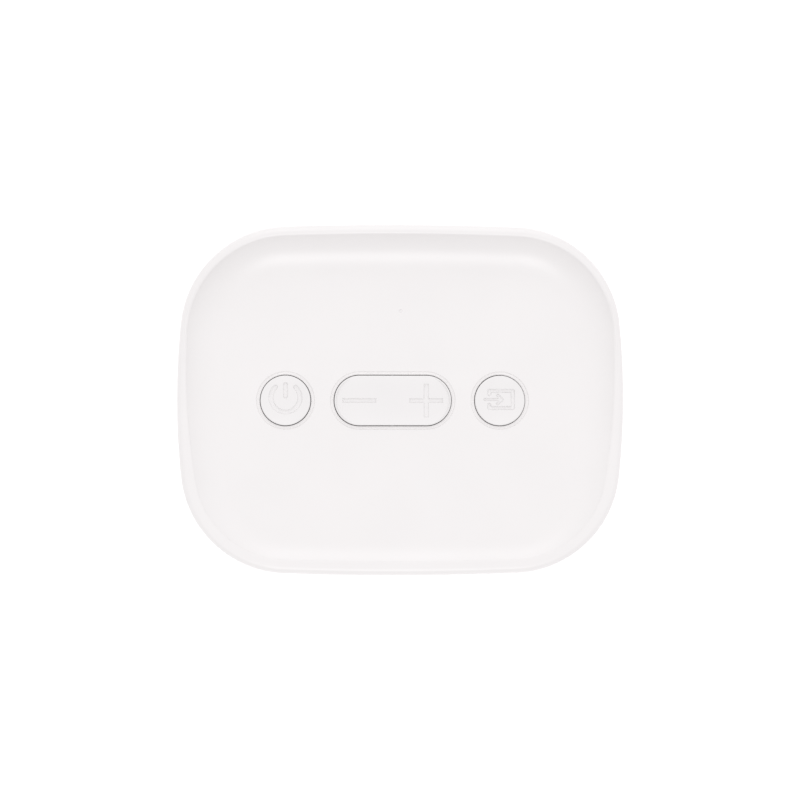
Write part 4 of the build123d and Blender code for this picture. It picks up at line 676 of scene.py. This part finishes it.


# The second colour is painted shade for the hollows between the threads.
cloth_white = woven("cloth_white", (0.80, 0.79, 0.785), (0.42, 0.415, 0.41), THREAD_PITCH)
cloth_low, cloth_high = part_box("fabric_sleeve")
chain = front_outline(PANEL_GAP)
tucks = [(CLOTH_TUCK, 0), (CLOTH_TUCK * 0.4, CLOTH_TUCK * 0.3), (0, CLOTH_TUCK)]
rows = [(tuck, cloth_low.z + rise) for tuck, rise in tucks]
rows += [(0, level) for level in span(cloth_low.z + 0.004, cloth_high.z - 0.004, 12)]
rows += [(tuck, cloth_high.z - rise) for tuck, rise in reversed(tucks)]
bm = bmesh.new()
layers = [level_ring(chain, -CLOTH_INSET - tuck, level) for tuck, level in rows]
corners = [bm.verts.new(spot) for spot in layers[0]]
for here, there in zip(corners, corners[1:]):
    bm.edges.new((here, there))
for layer in layers[1:]:
    corners = pull(bm, corners, layer, closed=False)
middle = max(bm.faces, key=lambda face: -face.calc_center_median().y)
middle.normal_update()
if middle.normal.y > 0:
    bmesh.ops.reverse_faces(bm, faces=bm.faces)
run = [0.0]
for here, there in zip(chain, chain[1:]):
    run.append(run[-1] + (there[0] - here[0]).length)
along_chain = {
    (round(spot.x, 6), round(spot.y, 6)): length
    for layer in layers
    for spot, length in zip(layer, run)
}
weave_map = bm.loops.layers.uv.new("weave")
for face in bm.faces:
    face.smooth = True
    for loop in face.loops:
        spot = loop.vert.co
        loop[weave_map].uv = (along_chain[(round(spot.x, 6), round(spot.y, 6))], spot.z)
cloth_mesh = bpy.data.meshes.new("cloth_sleeve")
bm.to_mesh(cloth_mesh)
bm.free()
cloth_mesh.materials.append(cloth_white)
cloth = bpy.data.objects.new("cloth_sleeve", cloth_mesh)
bpy.context.scene.collection.objects.link(cloth)
thick = cloth.modifiers.new("thickness", "SOLIDIFY")
thick.thickness = CLOTH_THICKNESS - CLOTH_CLEARANCE
thick.offset = -1
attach(cloth, "housing")
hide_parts("fabric_sleeve")


# ---------------------------------------------------------------- base tray and foot
# The white base is a moulded tray with a rounded lower edge, screwed up into the cabinet. A rubber pad with
# one groove is glued into a recess under it and hides the screws.
BASE_ROLL = 0.005
BASE_WALL = 0.003
BASE_BREAK = 0.0004
LIP_INSET = 0.0034
LIP_THICKNESS = 0.0013
LIP_RISE = 0.0022
PAD_INSET = 0.0065
PAD_ROLL = 0.0006
GROOVE_INSET = 0.0105
GROOVE_WIDTH = 0.0015
GROOVE_DEPTH = 0.0005
PAD_CLEARANCE = 0.0001
LIP_GAP = 0.0292  # half of the lip's gap at the rear panel
BOSS_RADIUS = 0.0042
SCREW_WELL = 0.0028
SCREW_HOLE = 0.0017
HEAD_RADIUS = 0.0026
HEAD_HEIGHT = 0.002


def turned_up(bm, section, centre, axis, steps=64):
    """Spins a closed section of (radius, reach along the axis) corners into a ring-shaped solid."""
    axis = Vector(axis)
    sideways = Vector((1, 0, 0)) if abs(axis.x) < 0.5 else Vector((0, 1, 0))
    corners = [bm.verts.new(centre + sideways * radius + axis * reach) for radius, reach in section]
    edges = [bm.edges.new(pair) for pair in zip(corners, corners[1:] + corners[:1])]
    bmesh.ops.spin(
        bm,
        geom=corners + edges,
        cent=centre,
        axis=axis,
        angle=2 * math.pi,
        steps=steps,
        use_merge=True,
        use_duplicate=False,
    )


base_low, base_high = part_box("base_tray")
pad_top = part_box("foot_pad")[1].z
tray_top = cloth_low.z - CLOTH_SEAM
tray_floor = base_low.z + BASE_WALL
bm = bmesh.new()
recess = first_ring(bm, level_ring(BODY_OUTLINE, PAD_CLEARANCE - PAD_INSET, pad_top))
bmesh.ops.triangle_fill(bm, edges=ring_edges(recess), use_beauty=True, normal=(0, 0, -1))
ring = pull(bm, recess, level_ring(BODY_OUTLINE, PAD_CLEARANCE - PAD_INSET, base_low.z))
for angle in span(0, math.pi / 2, 8):
    level = base_low.z + BASE_ROLL * (1 - math.cos(angle))
    ring = pull(bm, ring, level_ring(BODY_OUTLINE, BASE_ROLL * (math.sin(angle) - 1), level))
top_edge = pull(bm, ring, level_ring(BODY_OUTLINE, 0, tray_top))
ring = pull(bm, top_edge, level_ring(BODY_OUTLINE, -BASE_WALL, tray_top))
ring = pull(bm, ring, level_ring(BODY_OUTLINE, -BASE_WALL, tray_floor))
bmesh.ops.triangle_fill(bm, edges=ring_edges(ring), use_beauty=True, normal=(0, 0, 1))
round_off(bm, top_edge, BASE_BREAK)
lip_section = [
    (LIP_INSET, tray_floor),
    (LIP_INSET, tray_top + LIP_RISE),
    (LIP_INSET + LIP_THICKNESS, tray_top + LIP_RISE),
    (LIP_INSET + LIP_THICKNESS, tray_floor),
]
lip_layers = [level_ring(front_outline(LIP_GAP), -inset, level) for inset, level in lip_section]
corners = [bm.verts.new(spot) for spot in lip_layers[0]]
for here, there in zip(corners, corners[1:]):
    bm.edges.new((here, there))
first, ends = corners, [[corners[0]], [corners[-1]]]
for layer in lip_layers[1:]:
    corners = pull(bm, corners, layer, closed=False)
    ends[0].append(corners[0])
    ends[1].append(corners[-1])
bmesh.ops.bridge_loops(bm, edges=ring_edges(first, False) + ring_edges(corners, False))
for end in ends:
    bmesh.ops.contextual_create(bm, geom=end)
screw_low, screw_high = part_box("base_screws")
for x in (screw_low.x + HEAD_RADIUS, screw_high.x - HEAD_RADIUS):
    for y in (screw_low.y + HEAD_RADIUS, screw_high.y - HEAD_RADIUS):
        section = [
            (SCREW_WELL, pad_top),
            (BOSS_RADIUS, pad_top),
            (BOSS_RADIUS, base_high.z),
            (SCREW_HOLE, base_high.z),
            (SCREW_HOLE, screw_low.z + HEAD_HEIGHT),
            (SCREW_WELL, screw_low.z + HEAD_HEIGHT),
        ]
        turned_up(bm, section, Vector((x, y, 0)), (0, 0, 1), 32)
base_white = moulded("base_white", (0.87, 0.86, 0.855), 0.36)
settle(bm, "base_shell", base_white, "housing", ["base_tray"])

bm = bmesh.new()
ring = first_ring(bm, level_ring(BODY_OUTLINE, -PAD_INSET, pad_top))
bmesh.ops.triangle_fill(bm, edges=ring_edges(ring), use_beauty=True, normal=(0, 0, 1))
for angle in span(0, math.pi / 2, 4):
    level = PAD_ROLL * (1 - math.sin(angle))
    ring = pull(bm, ring, level_ring(BODY_OUTLINE, -PAD_INSET - PAD_ROLL * (1 - math.cos(angle)), level))
for inset, level in (
    (GROOVE_INSET, 0),
    (GROOVE_INSET, GROOVE_DEPTH),
    (GROOVE_INSET + GROOVE_WIDTH, GROOVE_DEPTH),
    (GROOVE_INSET + GROOVE_WIDTH, 0),
):
    ring = pull(bm, ring, level_ring(BODY_OUTLINE, -inset, level))
bmesh.ops.triangle_fill(bm, edges=ring_edges(ring), use_beauty=True, normal=(0, 0, -1))
foot_rubber = moulded("foot_rubber", (0.32, 0.32, 0.33), 0.75, grain=0.25, grain_size=0.0006, mottle=0.06)
settle(bm, "rubber_foot", foot_rubber, "housing", ["foot_pad"])


# ---------------------------------------------------------------- rear panel
# A stiff moulded strip that closes the gap in the cloth. Four screws hold it. It has openings for the bass
# port, the mains inlet and the audio socket.
PANEL_INSET = 0.0006
PANEL_THICKNESS = 0.0025
PANEL_BREAK = 0.0003
PORT_MOUTH = 0.016
FIT = 0.0002
NOSE_RADIUS = 0.003
INLET_CORNER = 0.0025
SCREW_SINK = 0.0013
SCREW_SEAT = 0.003
PANEL_STRIPS = 13  # flat strips that make up the panel's bow


def everything(bm):
    return list(bm.verts) + list(bm.edges) + list(bm.faces)


def loop_xz(bm, spots):
    return first_ring(bm, [Vector((x, 0, z)) for x, z in spots])


def round_loop(bm, x, z, radius, steps=64):
    spots = [(spot.x + x, spot.y + z) for spot, _ in slot_outline(0, 0, radius, steps // 2)]
    return loop_xz(bm, spots)


def rounded_window(x, z, width, height, radius, steps=8):
    """The corners of a rounded rectangle."""
    places = [(Vector((x + width / 2, z - height / 2 + radius, 0)), Vector((1, 0, 0)))]
    for sign_x, sign_z in ((1, 1), (-1, 1), (-1, -1), (1, -1)):
        pivot = Vector((x + sign_x * (width / 2 - radius), z + sign_z * (height / 2 - radius), 0))
        _, way = places[-1]
        places.append((pivot + way * radius, way))
        arc(places, pivot, math.pi / 2, steps)
    return [(spot.x, spot.y) for spot, _ in places[2:]]


panel_low, panel_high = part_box("rear_panel")
port_low, port_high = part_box("port_tube")
inlet_low, inlet_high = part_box("ac_inlet")
port_x, _, port_z = middle_of("port_tube")
jack_x, _, jack_z = middle_of("aux_jack")
inlet_x, _, inlet_z = middle_of("ac_inlet")
inlet_size = inlet_high - inlet_low
screws_low, screws_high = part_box("rear_screws")
screw_places = [
    (x, z)
    for x in (screws_low.x + HEAD_RADIUS, screws_high.x - HEAD_RADIUS)
    for z in (screws_low.z + HEAD_RADIUS, screws_high.z - HEAD_RADIUS)
]
bm = bmesh.new()
half = panel_high.x
bottom, top = panel_low.z, panel_high.z
loops = [loop_xz(bm, [(half, bottom), (half, top), (-half, top), (-half, bottom)])]
loops.append(round_loop(bm, port_x, port_z, PORT_MOUTH + FIT, 96))
loops.append(round_loop(bm, jack_x, jack_z, NOSE_RADIUS + FIT))
window = rounded_window(inlet_x, inlet_z, inlet_size.x + 2 * FIT, inlet_size.z + 2 * FIT, INLET_CORNER)
loops.append(loop_xz(bm, window))
loops += [round_loop(bm, x, z, SCREW_SEAT, 40) for x, z in screw_places]
edges = [edge for loop in loops for edge in ring_edges(loop)]
bmesh.ops.triangle_fill(bm, edges=edges, use_beauty=True, normal=(0, 1, 0))
for x in span(-half, half, PANEL_STRIPS)[1:-1]:
    bmesh.ops.bisect_plane(bm, geom=everything(bm), plane_co=(x, 0, 0), plane_no=(1, 0, 0))
grown = bmesh.ops.extrude_face_region(bm, geom=list(bm.faces))["geom"]
grown = {part for part in grown if isinstance(part, bmesh.types.BMVert)}
for corner in bm.verts:
    spot, _ = rear_place(corner.co.x)
    corner.co.y = spot.y - PANEL_INSET - (PANEL_THICKNESS if corner in grown else 0)
edge_lines = [
    edge
    for edge in bm.edges
    if edge.is_manifold and edge.calc_face_angle() > 1 and not any(corner in grown for corner in edge.verts)
]
break_edges(bm, edge_lines, PANEL_BREAK, 2)
for x, z in screw_places:
    face_y = rear_place(x)[0].y - PANEL_INSET
    section = [
        (SCREW_SEAT, -SCREW_SINK),
        (SCREW_HOLE, -SCREW_SINK),
        (SCREW_HOLE, -PANEL_THICKNESS),
        (SCREW_SEAT, -PANEL_THICKNESS),
    ]
    turned_up(bm, section, Vector((x, face_y, z)), (0, 1, 0), 40)
panel_white = moulded("panel_white", (0.85, 0.845, 0.84), 0.45, grain=0.06, grain_size=0.0005)
settle(bm, "rear_cover", panel_white, "housing", ["rear_panel"])


# ---------------------------------------------------------------- bass port, sockets and rear screws
# The port is a white tube with a flared mouth. The inlet and the audio socket are black mouldings that stand
# on their boards and reach into the panel's openings.
PORT_BORE = 0.011
PORT_WALL = 0.002
PORT_FLARE = 0.0035
PORT_NECK = 0.007  # the outside widens from here
PORT_COLLAR = 0.004
bm = bmesh.new()
length = port_high.y - port_low.y
section = [(PORT_BORE, 0), (PORT_BORE + PORT_WALL, 0), (PORT_BORE + PORT_WALL, length - PORT_NECK)]
section += [(PORT_MOUTH, length - PORT_COLLAR), (PORT_MOUTH, length - PANEL_BREAK)]
section += [(PORT_MOUTH - PANEL_BREAK, length)]
section += [
    (PORT_BORE + PORT_FLARE * (1 - math.sin(angle)), length - PORT_FLARE * (1 - math.cos(angle)))
    for angle in span(0, math.pi / 2, 10)
]
turned_up(bm, section, Vector((port_x, port_low.y, port_z)), (0, 1, 0), 96)
settle(bm, "flared_port", panel_white, "housing", ["port_tube"])


def joined(node):
    """A copy of a made part's mesh with its corners joined."""
    bm = bmesh.new()
    bm.from_mesh(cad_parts[node].data)
    bmesh.ops.remove_doubles(bm, verts=bm.verts, dist=1e-7)
    return bm


def smoothed(node, paint):
    """Stands for a made part with a copy whose round faces shade smoothly."""
    settle(joined(node), node + "_smooth", paint, "housing", [node])


black_plastic = moulded("black_plastic", (0.035, 0.035, 0.04), 0.42, 0.1, 0.0006, 0.15)
smoothed("ac_inlet", black_plastic)
smoothed("aux_jack", black_plastic)


# ---------------------------------------------------------------- metal parts
# Screws, pins, magnets and plates: rolled or machined, then plated, blackened or painted.
def metal(name, colour, roughness, streak=0.25):
    """Bare or plated metal with fine drawn marks. The streak is the share by which its gloss varies."""
    paint = new_paint(name, roughness, metallic=1.0)
    marks = noise(paint, scaled(paint, surface_place(paint), (1, 1, 8)), 900, 4)
    spread = calculate(paint, "MULTIPLY_ADD", marks, 2 * streak * roughness, roughness * (1 - streak))
    paint.node_tree.links.new(spread, paint.node_tree.nodes["Principled BSDF"].inputs["Roughness"])
    tint(paint, marks, 0.25, darker(colour, 0.86), 0.75, colour)
    relief(paint, marks, 0.08, 0.0002)
    return paint


white_screw = moulded("white_screw", (0.72, 0.72, 0.72), 0.35, grain=0.08)
smoothed("rear_screws", white_screw)
smoothed("inlet_pins", metal("plated_pin", (0.78, 0.77, 0.74), 0.22))
dress(metal("zinc_steel", (0.62, 0.62, 0.63), 0.35), "rocker_pin", "woofer_top_plate", "woofer_yoke")
hidden_screws = [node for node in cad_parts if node.endswith("_screws") and node != "rear_screws"]
dress(metal("black_oxide", (0.05, 0.05, 0.055), 0.45), "tweeter_yoke", *hidden_screws)
dress(metal("nickel", (0.66, 0.65, 0.62), 0.2), "tweeter_magnet")
dress(metal("tinned_can", (0.70, 0.70, 0.68), 0.4, 0.4), "shield_can")
dress(metal("extruded_aluminium", (0.62, 0.63, 0.65), 0.38, 0.3), "heat_sink")
dress(metal("antenna_foil", (0.80, 0.62, 0.32), 0.35), "antenna_left", "antenna_right")


# ---------------------------------------------------------------- inner mouldings and rubber
# The slotted shell, cabinet, baffle, basket and keypad are plain mouldings that the cloth and cap hide.
grille_grey = moulded("grille_grey", (0.55, 0.55, 0.56), 0.5, grain=0.08)
cabinet_black = moulded("cabinet_black", (0.06, 0.06, 0.065), 0.5, grain=0.15, grain_size=0.0008, mottle=0.12)
dress(grille_grey, "grille_shell")
dress(cabinet_black, "cabinet_shell", "front_baffle", "tweeter_faceplate")
dress(moulded("powder_coat", (0.05, 0.05, 0.055), 0.6, 0.3, 0.0005, 0.2), "woofer_basket")
dress(moulded("ferrite", (0.13, 0.13, 0.14), 0.7, 0.4, 0.0009, 0.25), "woofer_magnet")
black_rubber = moulded("black_rubber", (0.04, 0.04, 0.045), 0.7, grain=0.25, grain_size=0.0007, mottle=0.15)
dress(black_rubber, "mic_boot")
dress(moulded("seal_foam", (0.16, 0.16, 0.17), 0.95, 0.9, 0.0012, 0.4), "baffle_gasket", "woofer_gasket")
pulp = moulded("cone_pulp", (0.07, 0.07, 0.075), 0.85, grain=0.7, grain_size=0.0011, mottle=0.35)
dress(pulp, "woofer_cone", "woofer_dust_cap")
# The second colour is painted shade for the hollows between the threads.
dome_silk = woven("dome_silk", (0.07, 0.07, 0.075), (0.02, 0.02, 0.02), 0.0004, "Object", 0.6)
dress(dome_silk, "tweeter_dome")


def cut_away(bm, place, normal):
    """Removes what lies beyond a plane, and closes the cut."""
    cut = bmesh.ops.bisect_plane(bm, geom=everything(bm), plane_co=place, plane_no=normal, clear_outer=True)
    rim = [part for part in cut["geom_cut"] if isinstance(part, bmesh.types.BMEdge)]
    bmesh.ops.triangle_fill(bm, edges=rim, use_beauty=True, normal=normal)


def flexing(node, paint, sectors):
    """Cuts a round suspension into sectors, each a piece with no body."""
    middle = middle_of(node)
    half_turn = math.pi / sectors
    for number in range(sectors):
        angle = 2 * half_turn * number
        bm = joined(node)
        for side in (1, -1):
            edge = angle + side * half_turn
            cut_away(bm, middle, Vector((-math.sin(edge), 0, math.cos(edge))) * side)
        piece = settle(bm, f"{node}_{number + 1}", paint, None, [node])
        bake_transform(piece)


# The second colour is painted shade for the hollows between the threads.
spider_cloth = woven("spider_cloth", (0.62, 0.46, 0.2), (0.3, 0.2, 0.08), 0.0009, "Object", 0.7)
flexing("woofer_surround", black_rubber, 16)
flexing("woofer_spider", spider_cloth, 16)
flexing("tweeter_suspension", dome_silk, 12)

keypad_rubber = moulded("keypad_rubber", (0.62, 0.62, 0.62), 0.65, grain=0.1)
left_cut = Vector(((power_x + rocker_x - ROCKER_POST) / 2, 0, 0))
right_cut = Vector(((input_x + rocker_x + ROCKER_POST) / 2, 0, 0))
rightwards = Vector((1, 0, 0))
keypad_shares = {
    "power_key": [(left_cut, rightwards)],
    "volume_key": [(left_cut, -rightwards), (right_cut, rightwards)],
    "input_key": [(right_cut, -rightwards)],
}
for key, cuts in keypad_shares.items():
    bm = joined("silicone_keypad")
    for place, normal in cuts:
        cut_away(bm, place, normal)
    share = settle(bm, "keypad_" + key, keypad_rubber, None, ["silicone_keypad"])
    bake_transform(share)


# ---------------------------------------------------------------- boards, chips and wires
# Green boards with faint tracks under the solder mask, moulded chips, a taped transformer and coated wires.
def banded(name, light, dark, pitch, roughness, direction="X", metallic=0.0):
    """Fine parallel bands: wound wire, tape or tracks."""
    paint = new_paint(name, roughness, metallic)
    bands = paint.node_tree.nodes.new("ShaderNodeTexWave")
    bands.bands_direction = direction
    bands.inputs["Scale"].default_value = 0.314 / pitch
    bands.inputs["Distortion"].default_value = 1.5
    bands.inputs["Detail"].default_value = 1
    paint.node_tree.links.new(surface_place(paint), bands.inputs["Vector"])
    tint(paint, bands.outputs["Fac"], 0.2, dark, 0.6, light)
    relief(paint, bands.outputs["Fac"], 0.3, pitch * 0.4)
    return paint


solder_mask = banded("solder_mask", (0.03, 0.22, 0.11), (0.02, 0.16, 0.08), 0.0012, 0.3)
dress(solder_mask, "button_board", "main_board", "power_board")
dress(banded("coil_copper", (0.72, 0.40, 0.20), (0.38, 0.18, 0.08), 0.0003, 0.35, "Y", 1.0), "voice_coil")
dress(banded("transformer_tape", (0.75, 0.58, 0.12), (0.6, 0.44, 0.08), 0.004, 0.4, "Z"), "transformer")
dress(banded("flex_amber", (0.55, 0.26, 0.05), (0.36, 0.14, 0.03), 0.0008, 0.35), "button_flex")
dress(moulded("shrink_sleeve", (0.04, 0.06, 0.14), 0.3, grain=0.03, mottle=0.1), "capacitors")
chip_epoxy = moulded("chip_epoxy", (0.05, 0.05, 0.05), 0.55, 0.3, 0.0004, 0.2)
dress(chip_epoxy, "main_board_chips", "button_connector")
dress(metal("microphone_gold", (0.85, 0.65, 0.35), 0.3), "microphone")
wire_black = moulded("wire_black", (0.04, 0.04, 0.045), 0.5, mottle=0.1)
dress(wire_black, "woofer_lead", "tweeter_lead", "power_harness")
